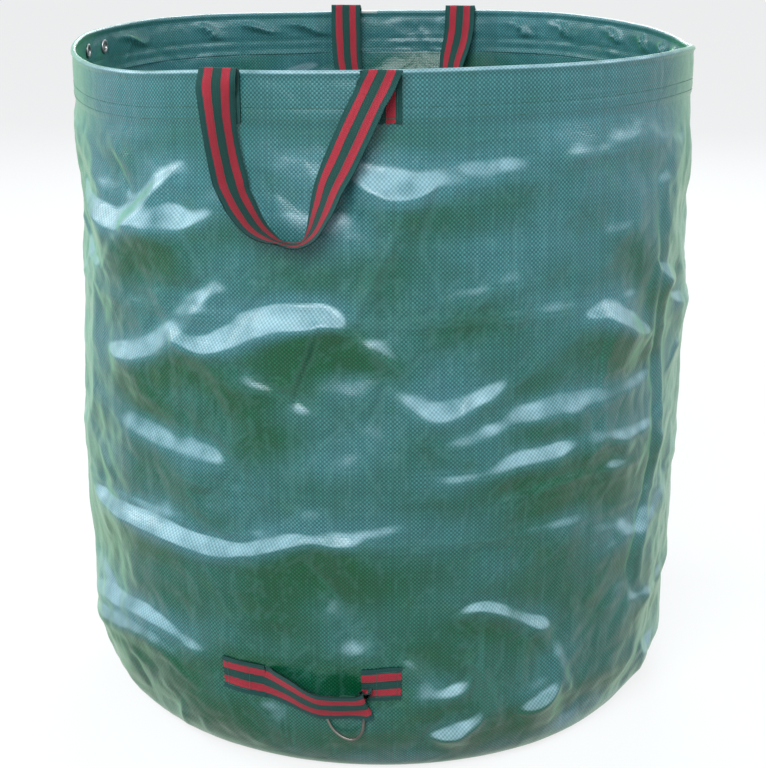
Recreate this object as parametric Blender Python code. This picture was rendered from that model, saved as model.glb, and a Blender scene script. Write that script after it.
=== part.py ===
"""Round leaf bag of woven cloth, with a hooped mouth and webbing handles.

Metres, +Z up. The origin is the middle of the base's underside, on the floor. The front is -Y.
Every ring of cloth has the same facets, so that nested rings keep an even gap all round.
"""
import math

import bmesh
import bpy
from mathutils import Matrix, Vector

# Clearances and sheet thicknesses
GAP = 0.0003
CLOTH = 0.0010
TAPE = 0.0008
THREAD = 0.0007

# The bag's outer shape
BAG_HEIGHT = 0.760
RIM_RADIUS = 0.3465
BELLY_RADIUS = 0.3510
BELLY_HEIGHT = 0.350
SHOULDER_RADIUS = 0.3410
FOOT_RADIUS = 0.2880
FOOT_HEIGHT = 0.1035
STANDING_BAND_HEIGHT = 0.165
BASE_SEAM_HEIGHT = 0.012

# The hem and the hoop in it
HEM_DEPTH = 0.050
HEM_ROW_UPPER = 0.036
HEM_ROW_LOWER = 0.0475
HOOP_WIRE_RADIUS = 0.00225
HOOP_END_GAP = 0.002
FERRULE_WALL = 0.0006
FERRULE_LENGTH = 0.024
FERRULE_AZIMUTH = 93.0

# The eyelets, at the back of the left side
EYELET_AZIMUTHS = (172.8, 164.0)
EYELET_DEPTH = 0.0225
EYELET_BORE_RADIUS = 0.0044
EYELET_BARREL_WALL = 0.0006
EYELET_FLANGE_RADIUS = 0.0085
EYELET_FLANGE = 0.0008
EYELET_SEAT = 0.0010

# The side seam
SIDE_SEAM_AZIMUTH = 327.0
SIDE_SEAM_WIDTH = 0.012

# Webbing, shared by the three handles
WEBBING_WIDTH = 0.038
WEBBING = 0.0015
FOLD_GAP = 0.0016
HANDLE_DROP = 0.167
FRONT_STANDOFF = 0.002
BACK_STANDOFF = 0.005
FRONT_SPACING = 0.157
FRONT_TURN = -13.3
BACK_SPACING = 0.150
BACK_TURN = -4.6
BACK_RISE = 0.006
END_LEAN = 0.018
TWIST_START = 0.45
TWIST_SPAN = 0.50
STITCH_MARGIN = 0.004
STITCH_BOX_HEIGHT = 0.018

# The lower handle and the ring under it
LOWER_TURN = -12.7
LOWER_HEIGHT = 0.125
LOWER_LENGTH = 0.190
LOWER_END_LENGTH = 0.044
LOWER_DROOP = 0.030
LOWER_STANDOFF = 0.020
LOWER_DROOP_POWER = 0.7
LOWER_STANDOFF_POWER = 0.5
RING_OFFSET = 0.034
RING_HEIGHT = 0.088
RING_WIDTH = 0.038
RING_DEPTH = 0.036
RING_WIRE_RADIUS = 0.0015
RING_TAB_WIDTH = 0.016
RING_TAB_LENGTH = 0.016

# Fineness of the round shapes
FACETS = 60
FOOT_STEPS = 4
SLEEVE_STEPS = 5
WIRE_SIDES = 6
EYELET_SIDES = 16
LOOP_STEPS = 40
WEB_COLUMNS = 4
LOWER_STEPS = 14
RING_STEPS = 10
SMOOTH_ANGLE = math.radians(35)
MITRE_LIMIT = 0.5

# Sizes that follow from the ones above
HALF_WEB = WEBBING_WIDTH / 2
FOLD_OFFSET = (WEBBING + FOLD_GAP) / 2
FOLD_REACH = FOLD_OFFSET + WEBBING / 2
LEAF_OFFSET = (CLOTH + GAP) / 2
LEAF_OUTER = RIM_RADIUS + LEAF_OFFSET + CLOTH / 2
LEAF_INNER = RIM_RADIUS - LEAF_OFFSET - CLOTH / 2
FERRULE_BORE = HOOP_WIRE_RADIUS + GAP
FERRULE_RADIUS = FERRULE_BORE + FERRULE_WALL
SLEEVE_RADIUS = FERRULE_RADIUS + GAP + CLOTH
HOOP_HEIGHT = BAG_HEIGHT - SLEEVE_RADIUS
HEM_BOTTOM = BAG_HEIGHT - HEM_DEPTH
SLEEVE_OUTER = RIM_RADIUS + SLEEVE_RADIUS
FACET_SHRINK = math.cos(math.pi / FACETS)
SLEEVE_INNER = (RIM_RADIUS - SLEEVE_RADIUS) * FACET_SHRINK
END_SEAT = THREAD + 2 * GAP
FRONT_AXIS_HEIGHT = BAG_HEIGHT + FOLD_REACH + 2 * GAP
BACK_AXIS_HEIGHT = BAG_HEIGHT + BACK_RISE

CLOTH_GREEN = (0.085, 0.30, 0.25)
WEBBING_GREEN = (0.03, 0.09, 0.085)
TAPE_GREEN = (0.05, 0.16, 0.13)
HOOP_COATING = (0.06, 0.10, 0.09)
FERRULE_STEEL = (0.55, 0.56, 0.57)
RING_STEEL = (0.45, 0.46, 0.46)
EYELET_WHITE = (0.78, 0.79, 0.80)


def clear_scene():
    """Remove every object, so that only the bag is left."""
    for item in list(bpy.data.objects):
        bpy.data.objects.remove(item, do_unlink=True)


def make_material(name, color, roughness, metallic=0.0):
    """A plain surface finish."""
    material = bpy.data.materials.new(name)
    material.use_nodes = True
    shader = material.node_tree.nodes["Principled BSDF"]
    shader.inputs["Base Color"].default_value = (*color, 1.0)
    shader.inputs["Roughness"].default_value = roughness
    shader.inputs["Metallic"].default_value = metallic
    return material


def add_object(name, mesh_data, color, roughness=0.5, metallic=0.0):
    """Link a mesh to the scene under its own name, with its own material."""
    item = bpy.data.objects.new(name, mesh_data)
    item.data.materials.append(make_material(name, color, roughness, metallic))
    bpy.context.scene.collection.objects.link(item)
    return item


def add_pivot(name, location, turn):
    """An empty on a hinge's axis, turned so that its X runs along the axis."""
    pivot = bpy.data.objects.new(name, None)
    pivot.location = location
    pivot.rotation_euler = (0.0, 0.0, math.radians(turn))
    bpy.context.scene.collection.objects.link(pivot)
    return pivot


def loft(name, rings, closed):
    """Skin a row of equal rings of points; an open row gets a flat cap at each end."""
    shape = bmesh.new()
    rows = [[shape.verts.new(point) for point in ring] for ring in rings]
    pairs = list(zip(rows, rows[1:]))
    if closed:
        pairs.append((rows[-1], rows[0]))
    for row, following in pairs:
        for index in range(len(row)):
            step = (index + 1) % len(row)
            shape.faces.new((row[index], row[step], following[step], following[index]))
    if not closed:
        shape.faces.new(rows[0][::-1])
        shape.faces.new(rows[-1])
    bmesh.ops.remove_doubles(shape, verts=shape.verts, dist=1e-6)
    bmesh.ops.recalc_face_normals(shape, faces=shape.faces)
    mesh_data = bpy.data.meshes.new(name)
    shape.to_mesh(mesh_data)
    shape.free()
    mesh_data.shade_smooth()
    mesh_data.set_sharp_from_angle(angle=SMOOTH_ANGLE)
    return mesh_data


def at_azimuth(radius, azimuth, height):
    """A point given by its radius, its angle from +X in degrees and its height."""
    angle = math.radians(azimuth)
    return Vector((radius * math.cos(angle), radius * math.sin(angle), height))


def spin(name, outline):
    """Turn a closed outline of (radius, height) points round the bag's axis."""
    step = 360.0 / FACETS
    rings = [[at_azimuth(r, side * step, z) for r, z in outline] for side in range(FACETS)]
    return loft(name, rings, closed=True)


def thicken(path, thickness):
    """Outline of a strip of even thickness whose middle follows an open 2-D path."""
    near, far = [], []
    for index, point in enumerate(path):
        before = path[max(index - 1, 0)]
        after = path[min(index + 1, len(path) - 1)]
        arriving = Vector(point) - Vector(before)
        leaving = Vector(after) - Vector(point)
        directions = [run.normalized() for run in (arriving, leaving) if run.length > 1e-9]
        normals = [Vector((-run.y, run.x)) for run in directions]
        mitre = sum(normals, Vector((0.0, 0.0))).normalized()
        reach = thickness / 2 / max(mitre.dot(normals[0]), MITRE_LIMIT)
        near.append(tuple(Vector(point) + mitre * reach))
        far.append(tuple(Vector(point) - mitre * reach))
    return near + far[::-1]


def arc(centre, radius, start, end, steps):
    """Points on an arc, from one angle to another in degrees."""
    angles = [math.radians(start + (end - start) * step / steps) for step in range(steps + 1)]
    return [(centre[0] + radius * math.cos(a), centre[1] + radius * math.sin(a)) for a in angles]


def tube(name, centres, radius, outward, sides, closed):
    """Tube round a path of points; outward is the direction square to the path at each point."""
    rings = []
    last = len(centres) - 1
    for index, centre in enumerate(centres):
        before = centres[index - 1] if closed or index > 0 else centre
        after = centres[(index + 1) % len(centres)] if closed or index < last else centre
        side = (after - before).normalized().cross(outward[index]).normalized()
        runs = [run.normalized() for run in (centre - before, after - centre) if run.length > 1e-9]
        widen = 1.0 / max(abs(runs[0].cross(outward[index]).dot(side)), MITRE_LIMIT)
        ring = []
        for corner in range(sides):
            angle = 2 * math.pi * (corner + 0.5) / sides
            across = side * (radius * widen * math.cos(angle))
            ring.append(centre + across + outward[index] * (radius * math.sin(angle)))
        rings.append(ring)
    return loft(name, rings, closed)


def wall_radius(height):
    """Outer radius of the wall: an elliptical foot, then straight runs to the belly and the rim."""
    if height < FOOT_HEIGHT:
        rise = 1.0 - height / FOOT_HEIGHT
        return FOOT_RADIUS + (SHOULDER_RADIUS - FOOT_RADIUS) * math.sqrt(1.0 - rise * rise)
    if height < BELLY_HEIGHT:
        share = (height - FOOT_HEIGHT) / (BELLY_HEIGHT - FOOT_HEIGHT)
        return SHOULDER_RADIUS + (BELLY_RADIUS - SHOULDER_RADIUS) * share
    share = (height - BELLY_HEIGHT) / (HEM_BOTTOM - BELLY_HEIGHT)
    return BELLY_RADIUS + (LEAF_OUTER - BELLY_RADIUS) * share


def foot_path():
    """The rounded foot's path, up from the seam at the floor to the shoulder."""
    points = []
    for step in range(FOOT_STEPS + 1):
        angle = math.radians(90.0 * step / FOOT_STEPS)
        radius = FOOT_RADIUS + (SHOULDER_RADIUS - FOOT_RADIUS) * math.sin(angle)
        points.append((radius, FOOT_HEIGHT * (1.0 - math.cos(angle))))
    return points


def inset_path(path, inset):
    """The same path, moved in towards the bag's axis and up off the floor."""
    return [(radius - inset, max(height, inset)) for radius, height in path]


def make_base():
    """The round base panel, with its edge turned up into the seam, and the tape that binds it."""
    lip_outer = FOOT_RADIUS - CLOTH - GAP
    lip_inner = lip_outer - CLOTH
    outline = [(0.0, 0.0), (lip_outer, 0.0), (lip_outer, BASE_SEAM_HEIGHT)]
    outline += [(lip_inner, BASE_SEAM_HEIGHT), (lip_inner, CLOTH), (0.0, CLOTH)]
    add_object("base_panel", spin("base_panel", outline), CLOTH_GREEN)
    inner = lip_inner - GAP - TAPE / 2
    outer = FOOT_RADIUS + GAP + TAPE / 2
    top = BASE_SEAM_HEIGHT + GAP + TAPE / 2
    bottom = CLOTH + GAP
    over_wall = bottom + 2 * CLOTH
    path = [(inner, bottom), (inner, top), (outer, top), (outer, over_wall)]
    outline = thicken(path, TAPE)
    add_object("base_seam_binding", spin("base_seam_binding", outline), TAPE_GREEN)


def make_walls():
    """The wall in two bands: the lower one stands, the upper one folds when the mouth is pushed down."""
    middle = inset_path(foot_path(), CLOTH / 2)
    lip = (FOOT_RADIUS - CLOTH / 2, BASE_SEAM_HEIGHT)
    top = (wall_radius(STANDING_BAND_HEIGHT) - CLOTH / 2, STANDING_BAND_HEIGHT)
    outline = thicken([lip] + middle + [top], CLOTH)
    add_object("wall_lower", spin("wall_lower", outline), CLOTH_GREEN)
    heights = (STANDING_BAND_HEIGHT + GAP, BELLY_HEIGHT, HEM_BOTTOM - GAP)
    path = [(wall_radius(height) - CLOTH / 2, height) for height in heights]
    add_object("wall_upper", spin("wall_upper", thicken(path, CLOTH)), CLOTH_GREEN)


def make_side_seam():
    """The side seam's allowance, laid flat on the inside of each band."""
    angle = math.radians(SIDE_SEAM_AZIMUTH)
    across = Vector((-math.sin(angle), math.cos(angle), 0.0)) * (SIDE_SEAM_WIDTH / 2)
    shoulder = [(SHOULDER_RADIUS, FOOT_HEIGHT)]
    top = [(wall_radius(STANDING_BAND_HEIGHT), STANDING_BAND_HEIGHT)]
    lower = foot_path()[2:-1] + shoulder + top
    heights = (STANDING_BAND_HEIGHT + GAP, BELLY_HEIGHT, HEM_BOTTOM - GAP)
    upper = [(wall_radius(height), height) for height in heights]
    for name, outer_path in (("side_seam_lower", lower), ("side_seam_upper", upper)):
        face = CLOTH + 2 * GAP
        rings = []
        for radius, height in outer_path:
            flat = radius * FACET_SHRINK
            far = at_azimuth(flat - face, SIDE_SEAM_AZIMUTH, height)
            near = at_azimuth(flat - face - TAPE, SIDE_SEAM_AZIMUTH, height)
            rings.append([far - across, far + across, near + across, near - across])
        add_object(name, loft(name, rings, closed=False), TAPE_GREEN)


def make_hem():
    """The hem: cloth turned down over the hoop, its two leaves side by side, with two thread rows."""
    turn = SLEEVE_RADIUS - CLOTH / 2
    opening = math.degrees(math.asin(LEAF_OFFSET / turn))
    outer_leaf = (RIM_RADIUS + LEAF_OFFSET, HEM_BOTTOM)
    inner_leaf = (RIM_RADIUS - LEAF_OFFSET, HEM_BOTTOM)
    sleeve = arc((RIM_RADIUS, HOOP_HEIGHT), turn, opening - 90.0, 270.0 - opening, 2 * SLEEVE_STEPS)
    outline = thicken([outer_leaf] + sleeve + [inner_leaf], CLOTH)
    hem = add_object("rim_hem", spin("rim_hem", outline), CLOTH_GREEN)
    for number, azimuth in enumerate(EYELET_AZIMUTHS, start=1):
        cutter = make_eyelet_cutter(number, azimuth)
        cut = hem.modifiers.new("eyelet_hole_%d" % number, "BOOLEAN")
        cut.operation = "DIFFERENCE"
        cut.solver = "EXACT"
        cut.object = cutter
    rows = (("hem_thread_upper", HEM_ROW_UPPER), ("hem_thread_lower", HEM_ROW_LOWER))
    for name, depth in rows:
        radius = LEAF_OUTER + GAP + THREAD / 2
        outline = arc((radius, BAG_HEIGHT - depth), THREAD / 2, 0.0, 270.0, 3)
        add_object(name, spin(name, outline), TAPE_GREEN, 0.6)


def make_hoop():
    """The springy hoop, cut once, and the ferrule that holds its two ends in line."""
    step = 360.0 / FACETS
    half_gap = math.degrees(HOOP_END_GAP / 2 / RIM_RADIUS)
    first = FERRULE_AZIMUTH + step / 2
    azimuths = [FERRULE_AZIMUTH + half_gap]
    azimuths += [first + step * side for side in range(FACETS)]
    azimuths += [FERRULE_AZIMUTH + 360.0 - half_gap]
    profile = arc((RIM_RADIUS, HOOP_HEIGHT), HOOP_WIRE_RADIUS, 22.5, 337.5, 7)
    rings = []
    for azimuth in azimuths:
        is_end = azimuth in (azimuths[0], azimuths[-1])
        shrink = FACET_SHRINK / math.cos(math.radians(half_gap)) if is_end else 1.0
        rings.append([at_azimuth(r * shrink, azimuth, z) for r, z in profile])
    add_object("mouth_hoop", loft("mouth_hoop", rings, closed=False), HOOP_COATING, 0.35)
    centre = at_azimuth(RIM_RADIUS * FACET_SHRINK, FERRULE_AZIMUTH, HOOP_HEIGHT)
    half = FERRULE_LENGTH / 2
    wall = [(FERRULE_BORE, -half), (FERRULE_RADIUS, -half), (FERRULE_RADIUS, half), (FERRULE_BORE, half)]
    tangent = FERRULE_AZIMUTH + 90.0
    ferrule = turned("hoop_ferrule", wall, centre, at_azimuth(1.0, tangent, 0.0), 12)
    add_object("hoop_ferrule", ferrule, FERRULE_STEEL, 0.3, 1.0)


def turned(name, outline, centre, axis, sides):
    """Turn a closed outline of (radius, distance along the axis) points round any axis."""
    along = axis.normalized()
    across = Vector((0.0, 0.0, 1.0)).cross(along).normalized()
    upward = along.cross(across)
    rings = []
    for side in range(sides):
        angle = 2 * math.pi * (side + 0.5) / sides
        spoke = across * math.cos(angle) + upward * math.sin(angle)
        rings.append([centre + spoke * radius + along * reach for radius, reach in outline])
    return loft(name, rings, closed=True)


def make_eyelet_cutter(number, azimuth):
    """A plain cylinder through the hem for one eyelet's barrel."""
    radius = EYELET_BORE_RADIUS + EYELET_BARREL_WALL + GAP
    centre = at_azimuth(RIM_RADIUS, azimuth, BAG_HEIGHT - EYELET_DEPTH)
    outward = at_azimuth(1.0, azimuth, 0.0)
    across = Vector((0.0, 0.0, 1.0)).cross(outward)
    half = 4 * CLOTH
    rings = []
    for reach in (-half, half):
        ring = []
        for side in range(EYELET_SIDES):
            angle = 2 * math.pi * (side + 0.5) / EYELET_SIDES
            spoke = across * math.cos(angle) + Vector((0.0, 0.0, math.sin(angle)))
            ring.append(centre + spoke * radius + outward * reach)
        rings.append(ring)
    name = "eyelet_cutter_%d" % number
    cutter = bpy.data.objects.new(name, loft(name, rings, closed=False))
    bpy.context.scene.collection.objects.link(cutter)
    cutter.hide_render = True
    cutter.display_type = "WIRE"
    return cutter


def make_eyelets():
    """Each eyelet: a flanged barrel from the inside, rolled over a washer on the outside."""
    for number, azimuth in enumerate(EYELET_AZIMUTHS, start=1):
        centre = at_azimuth(0.0, azimuth, BAG_HEIGHT - EYELET_DEPTH)
        outward = at_azimuth(1.0, azimuth, 0.0)
        bore = EYELET_BORE_RADIUS
        barrel = bore + EYELET_BARREL_WALL
        seat = LEAF_INNER - EYELET_SEAT
        washer_in = LEAF_OUTER + GAP
        washer_out = washer_in + EYELET_FLANGE
        lip = barrel + EYELET_BARREL_WALL
        outline = [(bore, seat - EYELET_FLANGE), (EYELET_FLANGE_RADIUS, seat - EYELET_FLANGE)]
        outline += [(EYELET_FLANGE_RADIUS, seat), (barrel, seat), (barrel, washer_out + GAP)]
        outline += [(lip, washer_out + GAP), (lip, washer_out + 3 * GAP), (bore, washer_out + 3 * GAP)]
        name = "eyelet_%d" % number
        barrel_mesh = turned(name, outline, centre, outward, EYELET_SIDES)
        add_object(name, barrel_mesh, EYELET_WHITE, 0.3, 1.0)
        inner = barrel + GAP
        outline = [(inner, washer_in), (EYELET_FLANGE_RADIUS, washer_in)]
        outline += [(EYELET_FLANGE_RADIUS, washer_out), (inner, washer_out)]
        name = "eyelet_washer_%d" % number
        washer_mesh = turned(name, outline, centre, outward, EYELET_SIDES)
        add_object(name, washer_mesh, EYELET_WHITE, 0.3, 1.0)


def chord_depth(radius, x):
    """How far a circle about the bag's axis lies from the centre, at a sideways distance x."""
    return math.sqrt(radius * radius - x * x)


def place(point, turn):
    """Turn a point about the bag's axis."""
    return Matrix.Rotation(math.radians(turn), 4, "Z") @ Vector(point)


def web_columns(centre_x):
    """Sideways positions across a strap of webbing."""
    return (centre_x - HALF_WEB, centre_x, centre_x + HALF_WEB)


def sewn_end(name, columns, turn):
    """Plate of webbing; each column is its (inner path, outer path) of (x, y, z) points."""
    count = len(columns[0][0])
    rings = []
    for station in range(count):
        inner = [place(column[0][station], turn) for column in columns]
        outer = [place(column[1][station], turn) for column in columns]
        rings.append(inner + outer[::-1])
    add_object(name, loft(name, rings, closed=False), WEBBING_GREEN, 0.8)


def stitch_box(name, centre_x, low, high, radius_at, facing, turn):
    """A sewn rectangle of thread lying on a handle's end."""
    half = HALF_WEB - STITCH_MARGIN
    corners = [(-half, low), (0.0, low), (half, low), (half, high), (0.0, high), (-half, high)]
    centres, outward = [], []
    for offset, height in corners:
        x = centre_x + offset
        radius = radius_at(height) + GAP + THREAD / 2
        centres.append(place((x, facing * chord_depth(radius, x), height), turn))
        outward.append(place((x, facing * radius, 0.0), turn).normalized())
    thread = tube(name, centres, THREAD / 2, outward, 4, closed=True)
    add_object(name, thread, TAPE_GREEN, 0.6)


def front_axis_depth():
    """Distance of the front handle's fold line from the bag's middle, clear of the sleeve."""
    inner_edge = FRONT_SPACING / 2 - HALF_WEB
    return chord_depth(SLEEVE_OUTER, inner_edge) + GAP + WEBBING + FOLD_GAP / 2


def back_axis_depth():
    """Distance of the back handle's fold line from the bag's middle, inside the sleeve."""
    outer_edge = BACK_SPACING / 2 + HALF_WEB
    return chord_depth(SLEEVE_INNER, outer_edge) - GAP - FOLD_REACH


def hem_end_radius(_height):
    """Outer radius of a handle's end where it lies flat on the hem."""
    return LEAF_OUTER + END_SEAT + WEBBING


def make_front_handle_ends():
    """The two ends sewn to the outside of the hem, rising to the fold line."""
    fold = front_axis_depth() - FOLD_GAP / 2 - WEBBING
    bottom = HEM_BOTTOM + GAP
    bend = HOOP_HEIGHT - END_LEAN
    top = FRONT_AXIS_HEIGHT - FOLD_REACH - GAP
    for side, name in ((-1, "left"), (1, "right")):
        columns = []
        for x in web_columns(side * FRONT_SPACING / 2):
            flat = chord_depth(LEAF_OUTER + END_SEAT, x)
            share = (HOOP_HEIGHT - bend) / (top - bend)
            leaning = flat + (fold - flat) * share
            at_sleeve = max(chord_depth(SLEEVE_OUTER, x) + GAP, leaning)
            depths = ((flat, bottom), (flat, bend), (at_sleeve, HOOP_HEIGHT), (fold, top))
            inner = [(x, -depth, height) for depth, height in depths]
            outer = [(x, -depth - WEBBING, height) for depth, height in depths]
            columns.append((inner, outer))
        sewn_end("front_handle_end_" + name, columns, FRONT_TURN)
        low = HEM_BOTTOM + STITCH_MARGIN
        stitch_box("front_handle_stitch_" + name, side * FRONT_SPACING / 2, low,
                   low + STITCH_BOX_HEIGHT, hem_end_radius, -1, FRONT_TURN)


def make_back_handle_ends():
    """The two ends sewn to the outside of the hem, which pass over the rim to the fold line."""
    fold = back_axis_depth() + FOLD_REACH + GAP
    bottom = HEM_BOTTOM + GAP
    bend = HOOP_HEIGHT - END_LEAN
    under = BACK_AXIS_HEIGHT - FOLD_REACH
    for side, name in ((-1, "left"), (1, "right")):
        columns = []
        for x in web_columns(side * BACK_SPACING / 2):
            flat = chord_depth(LEAF_OUTER + END_SEAT, x) + WEBBING / 2
            proud = chord_depth(SLEEVE_OUTER, x) + GAP + WEBBING / 2
            level = under + WEBBING / 2
            crest = proud - WEBBING
            path = [(flat, bottom), (flat, bend), (proud, HOOP_HEIGHT), (crest, level), (fold, level)]
            outline = thicken(path, WEBBING)
            count = len(path)
            inner = [(x, depth, height) for depth, height in outline[:count]]
            outer = [(x, depth, height) for depth, height in outline[count:][::-1]]
            columns.append((inner, outer))
        sewn_end("back_handle_end_" + name, columns, BACK_TURN)
        low = HEM_BOTTOM + STITCH_MARGIN
        stitch_box("back_handle_stitch_" + name, side * BACK_SPACING / 2, low,
                   low + STITCH_BOX_HEIGHT, hem_end_radius, 1, BACK_TURN)


def smooth(value):
    """Ease from 0 to 1."""
    share = min(max(value, 0.0), 1.0)
    return share * share * (3.0 - 2.0 * share)


def hanging_loop(name, spacing, offset, twist_shift, standoff):
    """Strap that hangs in half an ellipse from the fold line and turns edge on at the bottom.

    offset is the strap's distance in front of the fold line, twist_shift is how far the bottom moves
    out as it turns, and standoff is how far it hangs clear of the cloth, all towards -Y.
    """
    rings = []
    for step in range(LOOP_STEPS + 1):
        angle = math.pi * step / LOOP_STEPS
        swing = math.radians(90.0) * smooth((math.sin(angle) - TWIST_START) / TWIST_SPAN)
        out = offset + twist_shift * math.sin(swing) + standoff * math.sin(angle)
        centre = Vector((-spacing / 2 * math.cos(angle), -out, -HANDLE_DROP * math.sin(angle)))
        along = Vector((spacing / 2 * math.sin(angle), 0.0, -HANDLE_DROP * math.cos(angle))).normalized()
        flat = along.cross(Vector((0.0, 1.0, 0.0)))
        across = flat * math.cos(swing) - Vector((0.0, 1.0, 0.0)) * math.sin(swing)
        face = along.cross(across)
        thick = face * (WEBBING / 2)
        columns = [centre + across * (HALF_WEB * (2 * column / WEB_COLUMNS - 1))
                   for column in range(WEB_COLUMNS + 1)]
        rings.append([point - thick for point in columns] + [point + thick for point in columns[::-1]])
    return loft(name, rings, closed=False)


def make_hanging_handles():
    """The free straps of the two upper handles, each under a pivot on its fold line."""
    front = place((0.0, -front_axis_depth(), FRONT_AXIS_HEIGHT), FRONT_TURN)
    strap = hanging_loop("front_handle_strap", FRONT_SPACING, FOLD_OFFSET, HALF_WEB,
                         FRONT_STANDOFF)
    item = add_object("front_handle_strap", strap, WEBBING_GREEN, 0.8)
    item.parent = add_pivot("front_handle_pivot", front, FRONT_TURN)
    back = place((0.0, back_axis_depth(), BACK_AXIS_HEIGHT), BACK_TURN)
    strap = hanging_loop("back_handle_strap", BACK_SPACING, -FOLD_OFFSET, 0.0,
                         BACK_STANDOFF)
    item = add_object("back_handle_strap", strap, WEBBING_GREEN, 0.8)
    item.parent = add_pivot("back_handle_pivot", back, BACK_TURN)


def lower_end_radius(height):
    """Outer radius of the lower handle's ends, which lie on the wall."""
    return wall_radius(height) + GAP + WEBBING


def lower_axis():
    """Depth and height of the lower handle's pivot line, along its top edge."""
    top = LOWER_HEIGHT + HALF_WEB
    return wall_radius(top) + 2 * GAP + WEBBING, top + GAP


def make_lower_handle():
    """The handle low on the wall: two sewn ends and a slack strap that lifts about its top edge."""
    low = LOWER_HEIGHT - HALF_WEB
    high = LOWER_HEIGHT + HALF_WEB
    free_half = LOWER_LENGTH / 2 - LOWER_END_LENGTH
    for side, name in ((-1, "left"), (1, "right")):
        columns = []
        for share in (0.0, 0.5, 1.0):
            x = side * (free_half + GAP + (LOWER_END_LENGTH - GAP) * share)
            heights = (low, high)
            inner = [(x, -chord_depth(wall_radius(z) + GAP, x), z) for z in heights]
            outer = [(x, -chord_depth(lower_end_radius(z), x), z) for z in heights]
            columns.append((inner, outer))
        sewn_end("lower_handle_end_" + name, columns, LOWER_TURN)
        middle = side * (free_half + LOWER_END_LENGTH / 2)
        stitch_box("lower_handle_stitch_" + name, middle, low + STITCH_MARGIN,
                   high - STITCH_MARGIN, lower_end_radius, -1, LOWER_TURN)
    depth, height = lower_axis()
    rings = []
    for step in range(LOWER_STEPS + 1):
        share = step / LOWER_STEPS
        slack = math.sin(math.pi * share)
        x = free_half * (2.0 * share - 1.0) * (1.0 - GAP / free_half)
        z = LOWER_HEIGHT - LOWER_DROOP * slack ** LOWER_DROOP_POWER
        clear = chord_depth(wall_radius(LOWER_HEIGHT), x) + GAP
        out = clear + LOWER_STANDOFF * slack ** LOWER_STANDOFF_POWER
        inner, outer = depth - out, depth - out - WEBBING
        top, bottom = z + HALF_WEB - height, z - HALF_WEB - height
        rings.append([Vector((x, inner, bottom)), Vector((x, outer, bottom)),
                      Vector((x, outer, top)), Vector((x, inner, top))])
    strap = loft("lower_handle_strap", rings, closed=False)
    item = add_object("lower_handle_strap", strap, WEBBING_GREEN, 0.8)
    pivot = place((0.0, -depth, height), LOWER_TURN)
    item.parent = add_pivot("lower_handle_pivot", pivot, LOWER_TURN)


def ring_axis_depth():
    """Distance of the ring's bar from the bag's middle, clear of the wall and the tab's inner leaf."""
    nearest = RING_OFFSET - RING_WIDTH / 2
    return chord_depth(wall_radius(RING_HEIGHT), nearest) + 2 * GAP + TAPE + RING_WIRE_RADIUS


def make_ring():
    """The wire ring under the lower handle, and the tape tab that holds its straight bar."""
    depth = ring_axis_depth()
    half = RING_WIDTH / 2
    corner = 2 * RING_WIRE_RADIUS
    bend = RING_DEPTH - half
    outline = [(-half + corner, 0.0), (half - corner, 0.0), (half, -corner)]
    outline += arc((0.0, -bend), half, 0.0, -180.0, RING_STEPS)
    outline += [(-half, -corner)]
    centres = [Vector((x, 0.0, z)) for x, z in outline]
    outward = [Vector((0.0, -1.0, 0.0))] * len(centres)
    wire = tube("hanging_ring", centres, RING_WIRE_RADIUS, outward, WIRE_SIDES, closed=True)
    item = add_object("hanging_ring", wire, RING_STEEL, 0.35, 1.0)
    pivot = place((RING_OFFSET, -depth, RING_HEIGHT), LOWER_TURN)
    item.parent = add_pivot("ring_pivot", pivot, LOWER_TURN)
    make_ring_tab(depth)


def make_ring_tab(depth):
    """Tape folded round the ring's bar, its two leaves sewn to the wall above."""
    turn = RING_WIRE_RADIUS + GAP + TAPE / 2
    leaf_gap = TAPE + GAP
    path = [(-turn, RING_TAB_LENGTH)] + arc((0.0, 0.0), turn, 180.0, 360.0, 6)
    path += [(turn, turn / 2), (leaf_gap - turn, 3 * turn), (leaf_gap - turn, RING_TAB_LENGTH)]
    outline = thicken(path, TAPE)
    rings = []
    for x in (RING_OFFSET - RING_TAB_WIDTH / 2, RING_OFFSET + RING_TAB_WIDTH / 2):
        rings.append([place((x, -depth - out, RING_HEIGHT + up), LOWER_TURN) for out, up in outline])
    add_object("ring_tab", loft("ring_tab", rings, closed=False), TAPE_GREEN, 0.7)


def build():
    """Make every piece of the bag."""
    clear_scene()
    make_base()
    make_walls()
    make_side_seam()
    make_hem()
    make_hoop()
    make_eyelets()
    make_front_handle_ends()
    make_back_handle_ends()
    make_hanging_handles()
    make_lower_handle()
    make_ring()


build()
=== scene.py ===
"""Leaf bag of laminated woven cloth, with a hooped mouth and striped webbing handles.

The visual model rides on the CAD frame. Lengths are in metres. A bearing is an angle in degrees round
the bag's upright axis: 0 is the front (-Y), 90 is the right (+X) and 180 is the back.
"""

import logging
import math
from collections.abc import Callable, Sequence
from dataclasses import dataclass
from enum import Enum

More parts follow.
